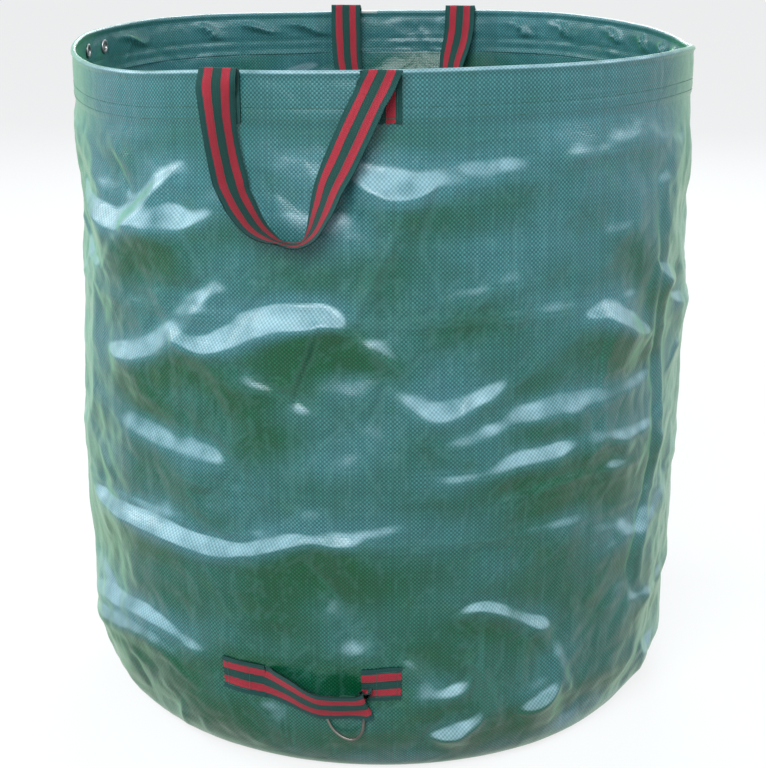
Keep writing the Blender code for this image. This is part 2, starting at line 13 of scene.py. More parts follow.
import bpy
import numpy as np
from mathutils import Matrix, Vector


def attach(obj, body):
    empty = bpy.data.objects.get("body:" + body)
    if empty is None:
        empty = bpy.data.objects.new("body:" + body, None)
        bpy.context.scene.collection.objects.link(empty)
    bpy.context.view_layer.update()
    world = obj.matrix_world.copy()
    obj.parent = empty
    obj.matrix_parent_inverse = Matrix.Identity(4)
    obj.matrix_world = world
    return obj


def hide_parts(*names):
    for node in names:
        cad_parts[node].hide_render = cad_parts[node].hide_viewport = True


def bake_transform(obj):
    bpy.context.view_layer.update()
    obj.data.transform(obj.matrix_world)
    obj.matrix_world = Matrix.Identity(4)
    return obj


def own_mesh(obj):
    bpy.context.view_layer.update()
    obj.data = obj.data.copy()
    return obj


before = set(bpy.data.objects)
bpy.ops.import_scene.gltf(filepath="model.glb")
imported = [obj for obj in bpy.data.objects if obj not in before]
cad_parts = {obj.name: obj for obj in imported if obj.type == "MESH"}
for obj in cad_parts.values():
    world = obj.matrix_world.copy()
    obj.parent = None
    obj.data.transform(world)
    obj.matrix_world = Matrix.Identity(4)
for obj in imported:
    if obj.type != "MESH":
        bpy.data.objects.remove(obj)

LOG = logging.getLogger("leaf_bag")
Array = np.ndarray
Point = tuple[float, float]
Mesh, Item, Material = bpy.types.Mesh, bpy.types.Object, bpy.types.Material
Node, NodeTree, Socket = bpy.types.Node, bpy.types.NodeTree, bpy.types.NodeSocket
UP = np.array([0.0, 0.0, 1.0])


# Small helpers for arrays


def smoothstep(value: Array | float, low: float, high: float) -> Array:
    """Ease from 0 at low to 1 at high."""
    share = np.clip((np.asarray(value, dtype=float) - low) / (high - low), 0.0, 1.0)
    return share * share * (3.0 - 2.0 * share)


def unit(vectors: Array) -> Array:
    """Scale vectors in the last axis to length 1."""
    length = np.linalg.norm(vectors, axis=-1, keepdims=True)
    return vectors / np.maximum(length, 1e-12)


def around(radius: Array | float, bearing: Array | float, height: Array | float) -> Array:
    """Points at a radius, bearing and height.

    Args:
        radius: distance from the bag's axis.
        bearing: bearing in degrees.
        height: height over the floor.

    Returns:
        The points, x, y and z last.
    """
    angle = np.radians(bearing)
    x, y, z = np.broadcast_arrays(radius * np.sin(angle), -radius * np.cos(angle), height)
    return np.stack([x, y, z], axis=-1)


def length_along(points: Array) -> Array:
    """Length of a path from its first point to each of its points."""
    return np.concatenate([[0.0], np.cumsum(np.linalg.norm(np.diff(points, axis=0), axis=1))])


def pairs(across: Array, along: Array) -> Array:
    """A grid of pairs, one for each value across in each row along."""
    return np.stack(np.meshgrid(across, along), axis=-1)


def grid_normals(points: Array) -> Array:
    """Normals of a grid of points, towards the side that sees its columns run right and rows up."""
    return unit(np.cross(np.gradient(points, axis=1), np.gradient(points, axis=0)))


def blend_corners(chart: Array, row: Array, column: Array, x: Array, y: Array) -> Array:
    """Blend the corners of a chart's cells, x of the way to the next column and y to the next row.

    Args:
        chart: the values by row and column. The last column is followed by the first.
        row, column: the first corner of each cell.
        x, y: shares of the way, from 0 to 1.

    Returns:
        The blended values.
    """
    after = (column + 1) % chart.shape[1]
    low = chart[row, column] * (1 - x) + chart[row, after] * x
    high = chart[row + 1, column] * (1 - x) + chart[row + 1, after] * x
    return low * (1 - y) + high * y


def smooth_line(points: Sequence[Sequence[float]], count: int) -> Array:
    """Resample a Catmull-Rom curve through the points.

    Each span between two points is the cubic whose end slopes are half the step between the
    neighbours on either side. The result is spaced evenly along its length.

    Args:
        points: the points to pass through, two or more, of any number of columns.
        count: how many points to return.

    Returns:
        An array of count rows.
    """
    knots = np.asarray(points, dtype=float)
    padded = np.vstack([2 * knots[0] - knots[1], knots, 2 * knots[-1] - knots[-2]])
    share = np.linspace(0.0, 1.0, 24, endpoint=False)[:, None]
    spans = []
    for before, start, end, after in zip(padded, padded[1:], padded[2:], padded[3:]):
        leave, arrive = (end - before) / 2, (after - start) / 2
        cube = 2 * share**3 - 3 * share**2 + 1
        spans.append(cube * start + (share**3 - 2 * share**2 + share) * leave
                     + (3 * share**2 - 2 * share**3) * end + (share**3 - share**2) * arrive)
    dense = np.vstack([*spans, knots[-1:]])
    travelled = length_along(dense[:, :3])
    wanted = np.linspace(0.0, travelled[-1], count)
    return np.stack([np.interp(wanted, travelled, column) for column in dense.T], axis=1)


def periodic_noise(bearing: Array, along: Array, cells: int, spacing: float, seed: int) -> Array:
    """Smooth noise from -1 to 1 that closes on itself round the bag.

    Random values on a lattice of cells round the bag and rows of the given spacing are blended with
    eased weights.

    Args:
        bearing: bearings in degrees.
        along: lengths up the cloth.
        cells: cells of the lattice round the bag.
        spacing: height of a cell.
        seed: seed of the values.

    Returns:
        The noise, in the shape of the inputs.
    """
    values = np.random.default_rng(seed).uniform(-1.0, 1.0, (int(1.2 / spacing) + 8, cells))
    across = (bearing / 360.0) % 1.0 * cells
    up = np.clip(along / spacing + 2.0, 0.0, values.shape[0] - 2.001)
    column, row = np.floor(across).astype(int), np.floor(up).astype(int)
    x, y = across - column, up - row
    x, y = x * x * (3 - 2 * x), y * y * (3 - 2 * y)
    return blend_corners(values, row, column % cells, x, y)


def facet_noise(bearing: Array, along: Array, cells: int, spacing: float, seed: int) -> Array:
    """Flat triangles with straight creases between them, from -1 to 1, closed round the bag.

    Each lattice square is cut along one of its diagonals, picked at random, and the height is linear
    on either half, as in cloth that has been crushed.

    Args:
        bearing: bearings in degrees.
        along: lengths up the cloth.
        cells: cells of the lattice round the bag.
        spacing: height of a cell.
        seed: seed of the values.

    Returns:
        The heights, in the shape of the inputs.
    """
    random = np.random.default_rng(seed)
    values = random.uniform(-1.0, 1.0, (int(1.2 / spacing) + 8, cells))
    rising = random.random(values.shape) < 0.5
    warp = 0.45 * periodic_noise(bearing, along, max(cells // 2, 3), spacing * 2, seed + 1)
    across = ((bearing / 360.0) * cells + warp) % cells
    up = np.clip(along / spacing + 2.0 + np.roll(warp, 7, axis=-1), 0.0, values.shape[0] - 2.001)
    column, row = np.floor(across).astype(int), np.floor(up).astype(int)
    x, y = across - column, up - row
    column, after = column % cells, (column + 1) % cells
    a, b = values[row, column], values[row, after]
    c, d = values[row + 1, column], values[row + 1, after]
    first = np.where(x > y, a + (b - a) * x + (d - b) * y, a + (d - c) * x + (c - a) * y)
    second = np.where(x + y < 1, a + (b - a) * x + (c - a) * y,
                      d + (c - d) * (1 - x) + (b - d) * (1 - y))
    return np.where(rising[row, column], first, second)


# Meshes from arrays


@dataclass
class Surface:
    """A grid of points with its outward normals and its place on the cloth, in metres."""

    points: Array
    normals: Array
    place: Array
    mask: Array | None = None


def outward_faces(points: Array, faces: Array) -> Array:
    """Turn every face over if the closed body they make is inside out.

    Args:
        points: the body's points.
        faces: its four-sided faces, all facing the same way.

    Returns:
        The faces, facing outwards.
    """
    corners = points[faces]
    first = np.einsum("ij,ij->i", corners[:, 0], np.cross(corners[:, 1], corners[:, 2]))
    second = np.einsum("ij,ij->i", corners[:, 0], np.cross(corners[:, 2], corners[:, 3]))
    return faces if first.sum() + second.sum() > 0 else faces[:, ::-1]


def grid_faces(rows: int, columns: int, wraps: bool, keep: Array | None) -> tuple[Array, Array]:
    """Faces of a closed sheet made of an outside and an inside grid.

    The two grids are numbered one after the other, row by row. Side faces close the sheet along
    every cell edge that has no kept cell beyond it.

    Args:
        rows: rows of points in each grid.
        columns: columns of points in each grid.
        wraps: whether the last column joins the first.
        keep: which cells have cloth, or None for all of them.

    Returns:
        The faces, and the unwrapped column of each of their corners.
    """
    across = columns if wraps else columns - 1
    kept = np.ones((rows - 1, across), dtype=bool) if keep is None else keep
    row, column = np.nonzero(kept)
    total = rows * columns

    def corner(at_row: Array, at_column: Array) -> Array:
        """Number of the point at a row and a column, which wraps round."""
        return at_row * columns + at_column % columns

    cell = np.stack([corner(row, column), corner(row, column + 1), corner(row + 1, column + 1),
                     corner(row + 1, column)], axis=1)
    cell_columns = np.stack([column, column + 1, column + 1, column], axis=1)
    faces, unwrapped = [cell, cell[:, ::-1] + total], [cell_columns, cell_columns[:, ::-1]]
    ends = ((-1, 0, (0, 0), (0, 1)), (1, 0, (1, 1), (1, 0)),
            (0, -1, (1, 0), (0, 0)), (0, 1, (0, 1), (1, 1)))
    for down, aside, start, stop in ends:
        beside_row, beside = row + down, column + aside
        beside = beside % across if wraps else beside
        inside = (beside_row >= 0) & (beside_row < rows - 1) & (beside >= 0) & (beside < across)
        open_edge = ~inside
        open_edge[inside] = ~kept[beside_row[inside], beside[inside]]
        at_row, at = row[open_edge], column[open_edge]
        first, second = corner(at_row + start[0], at + start[1]), corner(at_row + stop[0], at + stop[1])
        faces.append(np.stack([second, first, first + total, second + total], axis=1))
        unwrapped.append(np.stack([at + stop[1], at + start[1], at + start[1], at + stop[1]], axis=1))
    return np.vstack(faces), np.vstack(unwrapped)


def ring_faces(rings: int, sides: int, closed: bool) -> Array:
    """Four-sided faces between rings of points, which are numbered ring by ring.

    Args:
        rings: how many rings there are.
        sides: points in each ring.
        closed: whether the last ring joins the first.

    Returns:
        Four point numbers for each face.
    """
    row, column = (index.ravel() for index in np.indices((rings if closed else rings - 1, sides)))
    after, beside = (row + 1) % rings, (column + 1) % sides
    return np.stack([row * sides + column, row * sides + beside, after * sides + beside,
                     after * sides + column], axis=1)


def smooth_mesh(name: str, points: Array, faces: Array | list) -> Mesh:
    """A smooth-shaded mesh.

    Args:
        name: the mesh's name.
        points: its points.
        faces: its faces, as point numbers.

    Returns:
        The mesh.
    """
    mesh = bpy.data.meshes.new(name)
    mesh.from_pydata(points.reshape(-1, 3), [], faces)
    mesh.polygons.foreach_set("use_smooth", np.ones(len(mesh.polygons), dtype=bool))
    return mesh


def link_object(mesh: Mesh, material: Material) -> Item:
    """Link a finished mesh at the origin, under its own name, with its material and slot.

    Args:
        mesh: the finished mesh.
        material: its material.

    Returns:
        The object.
    """
    item = bpy.data.objects.new(mesh.name, mesh)
    bpy.context.scene.collection.objects.link(item)
    mesh.materials.append(material)
    return item


def finish_object(mesh: Mesh, material: Material, body: str,
                  node: str | None = None) -> Item:
    """Link a finished mesh, let it ride on its body and hide the CAD node that it replaces, if any.

    Args:
        mesh: the mesh, which names the object.
        material: its material.
        body: the body that it rides on.
        node: the CAD node that it stands for, or None.

    Returns:
        The object.
    """
    item = link_object(mesh, material)
    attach(item, body)
    if node:
        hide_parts(node)
    return item


def sheet_mesh(name: str, surface: Surface, thickness: float, wraps: bool,
               values: dict[str, Array] | None = None) -> Mesh:
    """Closed mesh of a sheet: the surface, a copy of it one thickness inside, and its edges.

    Args:
        name: the mesh's name.
        surface: the outer face.
        thickness: thickness of the sheet.
        wraps: whether its last column joins its first.
        values: named values to store on its points.

    Returns:
        The mesh, with its place on the cloth as UV.
    """
    rows, columns = surface.points.shape[:2]
    inside = surface.points - surface.normals * thickness
    points = np.concatenate([surface.points.reshape(-1, 3), inside.reshape(-1, 3)])
    faces, unwrapped = grid_faces(rows, columns, wraps, surface.mask)
    turned = outward_faces(points, faces)
    if turned is not faces:
        faces, unwrapped = turned, unwrapped[:, ::-1]
    used = np.zeros(len(points), dtype=bool)
    used[faces] = True
    number = np.cumsum(used) - 1
    mesh = smooth_mesh(name, points[used], number[faces])
    rows_of = (faces % (rows * columns)) // columns
    place = surface.place[rows_of, unwrapped]
    layer = mesh.uv_layers.new(name="cloth")
    layer.data.foreach_set("uv", place.reshape(-1))
    for key, value in (values or {}).items():
        attribute = mesh.attributes.new(key, "FLOAT", "POINT")
        both = np.concatenate([value.reshape(-1), value.reshape(-1)])
        attribute.data.foreach_set("value", both[used].astype(np.float32))
    normals = np.concatenate([surface.normals.reshape(-1, 3), -surface.normals.reshape(-1, 3)])
    mesh.normals_split_custom_set_from_vertices(normals[used].tolist())
    return mesh


def tube_mesh(name: str, centres: Array, side: Array, radius: Array | float, sides: int,
              closed: bool) -> Mesh:
    """Tube along a path: circles square to it, joined in order, with flat caps if it has ends.

    Args:
        name: the mesh's name.
        centres: points along the path.
        side: a direction that is never along the path, for each point or for all.
        radius: the tube's radius, one for each point or one for all.
        sides: how many points each circle has.
        closed: whether the path's end meets its start.

    Returns:
        The mesh.
    """
    count = len(centres)
    if closed:
        along = unit(np.roll(centres, -1, axis=0) - np.roll(centres, 1, axis=0))
    else:
        along = unit(np.gradient(centres, axis=0))
    across = unit(np.cross(along, np.broadcast_to(side, centres.shape)))
    upward = np.cross(across, along)
    angle = 2 * np.pi * np.arange(sides) / sides
    spread = np.broadcast_to(np.asarray(radius, dtype=float), (count,))[:, None, None]
    points = (centres[:, None] + spread * (across[:, None] * np.cos(angle)[None, :, None]
                                           + upward[:, None] * np.sin(angle)[None, :, None]))
    faces = outward_faces(points.reshape(-1, 3), ring_faces(count, sides, closed))
    listed = faces.tolist()
    if not closed:
        start = list(range(sides))
        end = [(count - 1) * sides + index for index in range(sides)]
        edge = {tuple(pair) for face in listed for pair in zip(face, face[1:] + face[:1])}
        listed.append(start if (start[1], start[0]) in edge else start[::-1])
        listed.append(end if (end[1], end[0]) in edge else end[::-1])
    return smooth_mesh(name, points, listed)


def scattered_mesh(name: str, centres: Array, axes: Array, shape: Array, faces: Array) -> Mesh:
    """Copies of one small closed shape, each at its own place and turned by its own axes.

    Args:
        name: the mesh's name.
        centres: the place of each copy.
        axes: three unit axes for each copy, as rows.
        shape: the points of the shape in those axes.
        faces: the shape's faces.

    Returns:
        One mesh with all the copies.
    """
    points = centres[:, None] + np.einsum("pk,nkd->npd", shape, axes)
    offsets = np.arange(len(centres))[:, None, None] * len(shape)
    return smooth_mesh(name, points, (faces[None] + offsets).reshape(-1, faces.shape[1]))


# Folds in the wall


class FoldKind(Enum):
    """Shapes that a fold takes across its line."""

    SHELF = "a band that faces up, over a longer slope that faces down"
    RIDGE = "a crest"
    VALLEY = "a groove"


@dataclass(frozen=True)
class Fold:
    """One fold of the wall.

    The line runs through points of bearing and height. A shelf's band lies on the right-hand side
    of the line, as one walks along it: below a line that runs to the right.
    """

    kind: FoldKind
    line: tuple[Point, ...]
    width: float
    depth: float
    fade: float = 0.045


SHELF, RIDGE, VALLEY = FoldKind.SHELF, FoldKind.RIDGE, FoldKind.VALLEY

FRONT_FOLDS = (
    # The wide swoosh at the upper left and the facet to the right of it
    Fold(SHELF, ((-72, 0.632), (-58, 0.617), (-50, 0.616), (-40, 0.658), (-35, 0.668)), 0.020, 0.009),
    Fold(SHELF, ((-50, 0.612), (-40, 0.626), (-28, 0.622)), 0.028, 0.007),
    Fold(VALLEY, ((-54.3, 0.676), (-47.7, 0.627)), 0.006, 0.003),
    # The bright triangle under the front handle's right leg and the ridge that runs down from it
    Fold(SHELF, ((-5, 0.668), (2, 0.662), (9, 0.655)), 0.024, 0.010),
    Fold(RIDGE, ((2.7, 0.621), (-0.5, 0.572), (-5.3, 0.511)), 0.008, 0.005),
    Fold(VALLEY, ((5.8, 0.668), (15.6, 0.668), (26.3, 0.672)), 0.006, 0.0010),
    Fold(RIDGE, ((10, 0.685), (23, 0.698)), 0.005, 0.002),
    # The brightest band, which crosses the middle left in an S
    Fold(SHELF, ((-38, 0.4925), (-31, 0.491), (-21, 0.524), (-12, 0.531), (-8.6, 0.529), (-4, 0.503)),
         0.027, 0.013, 0.055),
    Fold(SHELF, ((-58, 0.449), (-43, 0.4885), (-34, 0.533), (-28, 0.556)), 0.030, 0.008),
    Fold(RIDGE, ((-4.9, 0.499), (-1.8, 0.486), (3.6, 0.460)), 0.005, 0.003),
    Fold(VALLEY, ((-23.3, 0.462), (-11.3, 0.420)), 0.004, 0.003),
    Fold(SHELF, ((-30, 0.464), (-22, 0.460), (-15, 0.452)), 0.020, 0.004),
    Fold(SHELF, ((-64, 0.396), (-40, 0.382), (-24, 0.364)), 0.026, 0.0030, 0.07),
    # The crescent at the lower left
    Fold(SHELF, ((-70, 0.264), (-45, 0.274), (-29, 0.266), (-20, 0.276), (-13, 0.288)),
         0.015, 0.0075, 0.06),
    Fold(SHELF, ((-22, 0.272), (-9, 0.291), (4, 0.303)), 0.012, 0.0030, 0.03),
    Fold(VALLEY, ((-14.2, 0.262), (-7, 0.204), (-4.8, 0.155)), 0.014, 0.006),
    # The lower left, down to the foot
    Fold(SHELF, ((-76, 0.138), (-49, 0.164), (-34, 0.135)), 0.016, 0.005),
    Fold(SHELF, ((-76, 0.112), (-47, 0.144), (-36, 0.092)), 0.020, 0.006, 0.03),
    Fold(VALLEY, ((-52.7, 0.047), (-52.7, 0.096)), 0.005, 0.003),
    Fold(RIDGE, ((-44, 0.012), (-41, 0.060)), 0.006, 0.003),
    Fold(RIDGE, ((-37, 0.014), (-36, 0.048)), 0.005, 0.002),
    # The right half of the front
    Fold(SHELF, ((35, 0.507), (42.4, 0.513), (55.5, 0.466)), 0.020, 0.009),
    Fold(SHELF, ((54.5, 0.547), (67.5, 0.522)), 0.018, 0.007),
    Fold(SHELF, ((10, 0.386), (26.6, 0.426), (57.7, 0.424)), 0.024, 0.0042, 0.04),
    Fold(SHELF, ((10, 0.350), (30.3, 0.376), (58.5, 0.365)), 0.018, 0.0034, 0.04),
    Fold(SHELF, ((19, 0.322), (34.1, 0.341), (54.5, 0.330)), 0.010, 0.0030, 0.05),
    Fold(SHELF, ((1, 0.452), (8, 0.430), (13, 0.436), (21, 0.452)), 0.019, 0.0048),
    Fold(RIDGE, ((29, 0.667), (43.4, 0.669)), 0.006, 0.002),
    Fold(VALLEY, ((54.8, 0.640), (58.7, 0.394), (58.1, 0.303), (52.5, 0.195), (60.2, 0.130)),
         0.004, 0.003),
    Fold(RIDGE, ((57.6, 0.640), (61.6, 0.394), (61.0, 0.303), (55.5, 0.195), (63.0, 0.130)),
         0.006, 0.002),
    # The lower right, down to the foot
    Fold(SHELF, ((12, 0.196), (18.9, 0.208), (33, 0.160)), 0.010, 0.005, 0.03),
    Fold(RIDGE, ((14.3, 0.140), (17.5, 0.126), (22.3, 0.054)), 0.005, 0.004),
    Fold(RIDGE, ((26, 0.087), (26, 0.157)), 0.003, 0.0015),
    Fold(SHELF, ((8.5, 0.050), (18.5, 0.078)), 0.014, 0.005, 0.02),
    Fold(SHELF, ((9.5, 0.103), (16, 0.123)), 0.012, 0.004, 0.02),
    Fold(SHELF, ((25, 0.071), (34.5, 0.097)), 0.014, 0.005, 0.02),
    Fold(SHELF, ((34, 0.140), (40.5, 0.066)), 0.012, 0.004, 0.02),
    Fold(VALLEY, ((3.4, 0.153), (6, 0.145), (10.5, 0.100)), 0.006, 0.004),
    # Crease lines left all round by folding the bag flat: two close together, and one below
    *(Fold(RIDGE, tuple((float(bearing), height) for bearing in range(-190, 191, 20)), 0.0022, 0.0011)
      for height in (0.5085, 0.5150, 0.2790)),
)


class Relief:
    """How far the wall stands out from its plain shape, on a chart of bearing and length up it."""

    columns = 1200
    rows = 790
    step = 0.001
    lowest = -0.035
    radius = 0.350

    def __init__(self, along_of: Callable[[Array], Array]) -> None:
        """Start with a flat chart.

        Args:
            along_of: turns heights into lengths up the cloth.
        """
        self.along_of = along_of
        self.bearing = np.linspace(-180.0, 180.0, self.columns, endpoint=False)
        self.along = self.lowest + self.step * np.arange(self.rows)
        self.depth = np.zeros((self.rows, self.columns))
        self.pitch = 2 * math.pi * self.radius / self.columns

    def press(self, fold: Fold, strength: float = 1.0) -> None:
        """Add one fold: its profile against the distance from its line, tapered to its ends.

        Args:
            fold: the fold.
            strength: factor on its depth.
        """
        points = np.array(fold.line, dtype=float)
        across = np.radians(points[:, 0]) * self.radius
        line = smooth_line(np.stack([across, self.along_of(points[:, 1])], axis=1),
                           max(8, 5 * len(points)))
        reach = 2.5 * fold.width + 3.0 * fold.fade
        column = np.arange(math.floor((line[:, 0].min() - reach) / self.pitch),
                           math.ceil((line[:, 0].max() + reach) / self.pitch))
        first = max(0, int((line[:, 1].min() - reach - self.lowest) / self.step))
        last = min(self.rows, int((line[:, 1].max() + reach - self.lowest) / self.step) + 1)
        u, v = np.meshgrid(column * self.pitch, self.along[first:last])
        nearest, side, share = (np.full(u.shape, value) for value in (np.inf, 0.0, 0.0))
        spans = len(line) - 1
        for index in range(spans):
            start, way = line[index], line[index + 1] - line[index]
            length = math.hypot(*way)
            part = np.clip(((u - start[0]) * way[0] + (v - start[1]) * way[1]) / length**2, 0.0, 1.0)
            off_u, off_v = u - start[0] - part * way[0], v - start[1] - part * way[1]
            gap = np.hypot(off_u, off_v)
            turn = np.sign(way[1] * off_u - way[0] * off_v)
            closer = gap < nearest
            nearest = np.where(closer, gap, nearest)
            side = np.where(closer, turn, side)
            share = np.where(closer, (index + part) / spans, share)
        taper = np.sin(np.pi * np.clip(share, 0.001, 0.999)) ** 0.55
        if fold.kind is FoldKind.SHELF:
            width = fold.width * np.maximum(taper, 0.05)
            inward = nearest * side
            band = np.clip(inward / width, 0.0, 1.0)
            beyond = np.exp(-np.maximum(inward - width, 0.0) / (fold.fade * np.maximum(taper, 0.2)))
            shape = band * beyond
        else:
            sign = 1.0 if fold.kind is FoldKind.RIDGE else -1.0
            shape = sign * np.exp(-nearest / fold.width)
        at = (column + self.columns // 2) % self.columns
        np.add.at(self.depth, (np.arange(first, last)[:, None], at[None, :]),
                  strength * fold.depth * taper * shape)

    def crumple(self, seed: int) -> None:
        """Add creases all round that no line was drawn for, fainter in front.

        Args:
            seed: seed of every random draw.
        """
        bearing, along = np.meshgrid(self.bearing, self.along)
        front = 1.0 - 0.35 * smoothstep(70.0 - np.abs(bearing), 0.0, 20.0)
        sizes = ((0.0090, front, 20, 0.110, 0), (0.0036, front, 48, 0.045, 10),
                 (0.0018, 1.0, 84, 0.027, 15), (0.0008, 1.0, 150, 0.015, 20))
        for depth, share, cells, spacing, number in sizes:
            self.depth += depth * share * facet_noise(bearing, along, cells, spacing, seed + number)
        self.depth += 0.0040 * periodic_noise(bearing, along, 7, 0.22, seed + 30)
        random = np.random.default_rng(seed + 40)
        for _ in range(110):
            middle, height = random.uniform(-180, 180), random.uniform(0.03, 0.69)
            slope, length = random.normal(0.0, 0.35), random.uniform(0.05, 0.19)
            reach = math.degrees(length / 2 / self.radius)
            bend = random.normal(0.0, 0.12) * length
            line = ((middle - reach, height - slope * length / 2), (middle, height + bend),
                    (middle + reach, height + slope * length / 2))
            line = tuple((b, min(max(h, 0.012), 0.70)) for b, h in line)
            kind = (SHELF, SHELF, VALLEY, RIDGE)[random.integers(4)]
            in_front = abs(middle) < 66
            depth = random.uniform(0.002, 0.007) * (0.35 if in_front else 1.0)
            width = random.uniform(0.008, 0.020) if kind is SHELF else random.uniform(0.003, 0.007)
            if kind is not SHELF:
                depth *= 0.5
            self.press(Fold(kind, line, width, depth, random.uniform(0.015, 0.045)))

    def settle(self, blur: float, limit: float) -> None:
        """Round every crease by a blur and keep the depth within a limit.

        Args:
            blur: radius of the blur, in metres.
            limit: the greatest depth.
        """
        wave_rows = np.fft.fftfreq(self.rows, self.step)[:, None]
        wave_columns = np.fft.rfftfreq(self.columns, self.pitch)[None, :]
        soften = np.exp(-2 * (np.pi * blur) ** 2 * (wave_rows**2 + wave_columns**2))
        self.depth = np.fft.irfft2(np.fft.rfft2(self.depth) * soften, s=self.depth.shape)
        self.depth -= np.median(self.depth)
        self.depth = limit * np.tanh(self.depth / limit)
        low = smoothstep(self.along, self.lowest + 0.020, self.lowest + 0.075)
        high = 1.0 - smoothstep(self.along, 0.665, 0.712)
        sides = 1.0 - 0.5 * np.exp(-(((np.abs(self.bearing) - 90.0) / 14.0) ** 2))
        self.depth *= (low * high)[:, None] * sides[None, :]

    def sample(self, chart: Array, bearing: Array, along: Array) -> Array:
        """Read a chart between its points.

        Args:
            chart: the chart, with a row for each length and a column for each bearing.
            bearing: bearings in degrees.
            along: lengths up the cloth.

        Returns:
            The values read.
        """
        column = ((bearing + 180.0) / 360.0 * self.columns) % self.columns
        row = np.clip((along - self.lowest) / self.step, 0.0, self.rows - 1.001)
        x, y = column % 1.0, row % 1.0
        left, low = np.floor(column).astype(int) % self.columns, np.floor(row).astype(int)
        return blend_corners(chart, low, left, x, y)

    def sharpness(self) -> Array:
        """How sharply the cloth bends, from 0 to 1, for the pale lines that creases leave.

        Returns:
            The chart of the sharpness.
        """
        bend = (np.roll(self.depth, 1, 0) + np.roll(self.depth, -1, 0)
                + np.roll(self.depth, 1, 1) + np.roll(self.depth, -1, 1) - 4 * self.depth)
        return np.clip(np.abs(bend) / self.step / 0.10, 0.0, 1.0)

    def facing(self, shifts: Sequence[int], gain: float) -> Array:
        """How far the cloth leans to face up, from 0 to 1 and 0.5 where it stands upright.

        Args:
            shifts: steps of the blur, in cells of the chart.
            gain: how strongly a slope counts.

        Returns:
            The chart of the lean.
        """
        slope = -np.gradient(self.depth, self.step, axis=0)
        for shift in shifts:
            slope = (np.roll(slope, shift, 0) + 2 * slope + np.roll(slope, -shift, 0)) / 4
            slope = (np.roll(slope, shift, 1) + 2 * slope + np.roll(slope, -shift, 1)) / 4
        return np.clip(0.5 + gain * slope, 0.0, 1.0)


# The bag's cloth


# Width of a tape of the woven cloth, of the webbing, and of the webbing's yarns and ribs
TAPE, STRAP, YARN, RIB = 0.00215, 0.038, 0.0012, 0.0021


@dataclass(frozen=True)
class BagSize:
    """Sizes of the bag's cloth, as in the CAD part.

    The mouth goes down by push_down at most. The folds past relief_top repeat those at it. The round
    foot takes foot_extra more cloth than its height.
    """

    rim_radius: float = 0.3465
    leaf_outer: float = 0.34765
    leaf_inner: float = 0.34535
    belly_radius: float = 0.3510
    belly_height: float = 0.350
    shoulder_radius: float = 0.3410
    foot_radius: float = 0.2880
    foot_height: float = 0.1035
    hem_bottom: float = 0.710
    inner_overlap: float = 0.004
    hoop_height: float = 0.7569
    sleeve_radius: float = 0.0031
    standing_height: float = 0.1653
    middle_height: float = 0.430
    thickness: float = 0.0008
    tapes_round: int = 1022
    seam_bearing: float = 57.0
    push_down: float = 0.36
    relief_top: float = 0.745
    foot_extra: float = 0.024
    eyelet_hole: float = 0.0065

    @property
    def girth(self) -> float:
        """Length round the mouth."""
        return 2 * math.pi * self.rim_radius

    def fold_down(self, item: Item) -> None:
        """Give a piece its own copy of its mesh."""
        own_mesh(item)


# How far the hoop runs above or below its level circle: bearing and height
RIM_LIFT = (
    (-180, 0.000), (-162, -0.001), (-138, 0.002), (-124, 0.002), (-110, 0.000), (-97, -0.001),
    (-86, -0.006), (-73, -0.011), (-61, -0.014), (-52, -0.0135), (-44, -0.012), (-33, -0.006),
    (-26, -0.0035), (-14, -0.0015), (0, 0.0005), (18, 0.002), (38, 0.001), (64, 0.0005),
    (74, -0.002), (84, -0.008), (92, -0.010), (102, -0.006), (112, -0.002), (128, 0.002),
    (140, 0.004), (154, 0.003), (168, 0.001), (180, 0.000),
)

# Large pleats of the hem's inner leaf: bearing and height of the upper end, then of the lower end
PLEAT_WIDTH, PLEAT_HEIGHT = 0.0085, 0.0090
HEM_PLEATS = (
    (-112.5, 0.751, -121.0, 0.729), (-136.0, 0.757, -141.5, 0.727), (-145.5, 0.753, -155.0, 0.733),
    (-157.5, 0.755, -167.0, 0.729), (165.0, 0.752, 161.0, 0.729), (151.0, 0.755, 147.0, 0.727),
    (140.0, 0.757, 137.0, 0.729), (126.0, 0.753, 122.0, 0.732), (115.0, 0.757, 112.5, 0.729),
    (106.0, 0.757, 104.5, 0.728), (98.5, 0.757, 97.5, 0.728), (91.0, 0.756, 90.5, 0.728),
    (83.0, 0.756, 83.0, 0.728), (-78.0, 0.755, -80.0, 0.729), (30.0, 0.755, 26.0, 0.729),
    (2.0, 0.755, -3.0, 0.729), (-40.0, 0.755, -36.0, 0.729), (60.0, 0.755, 62.0, 0.729),
)

# Heights of the two rows of stitches round the hem
STITCH_HEIGHTS = (0.724, 0.7125)


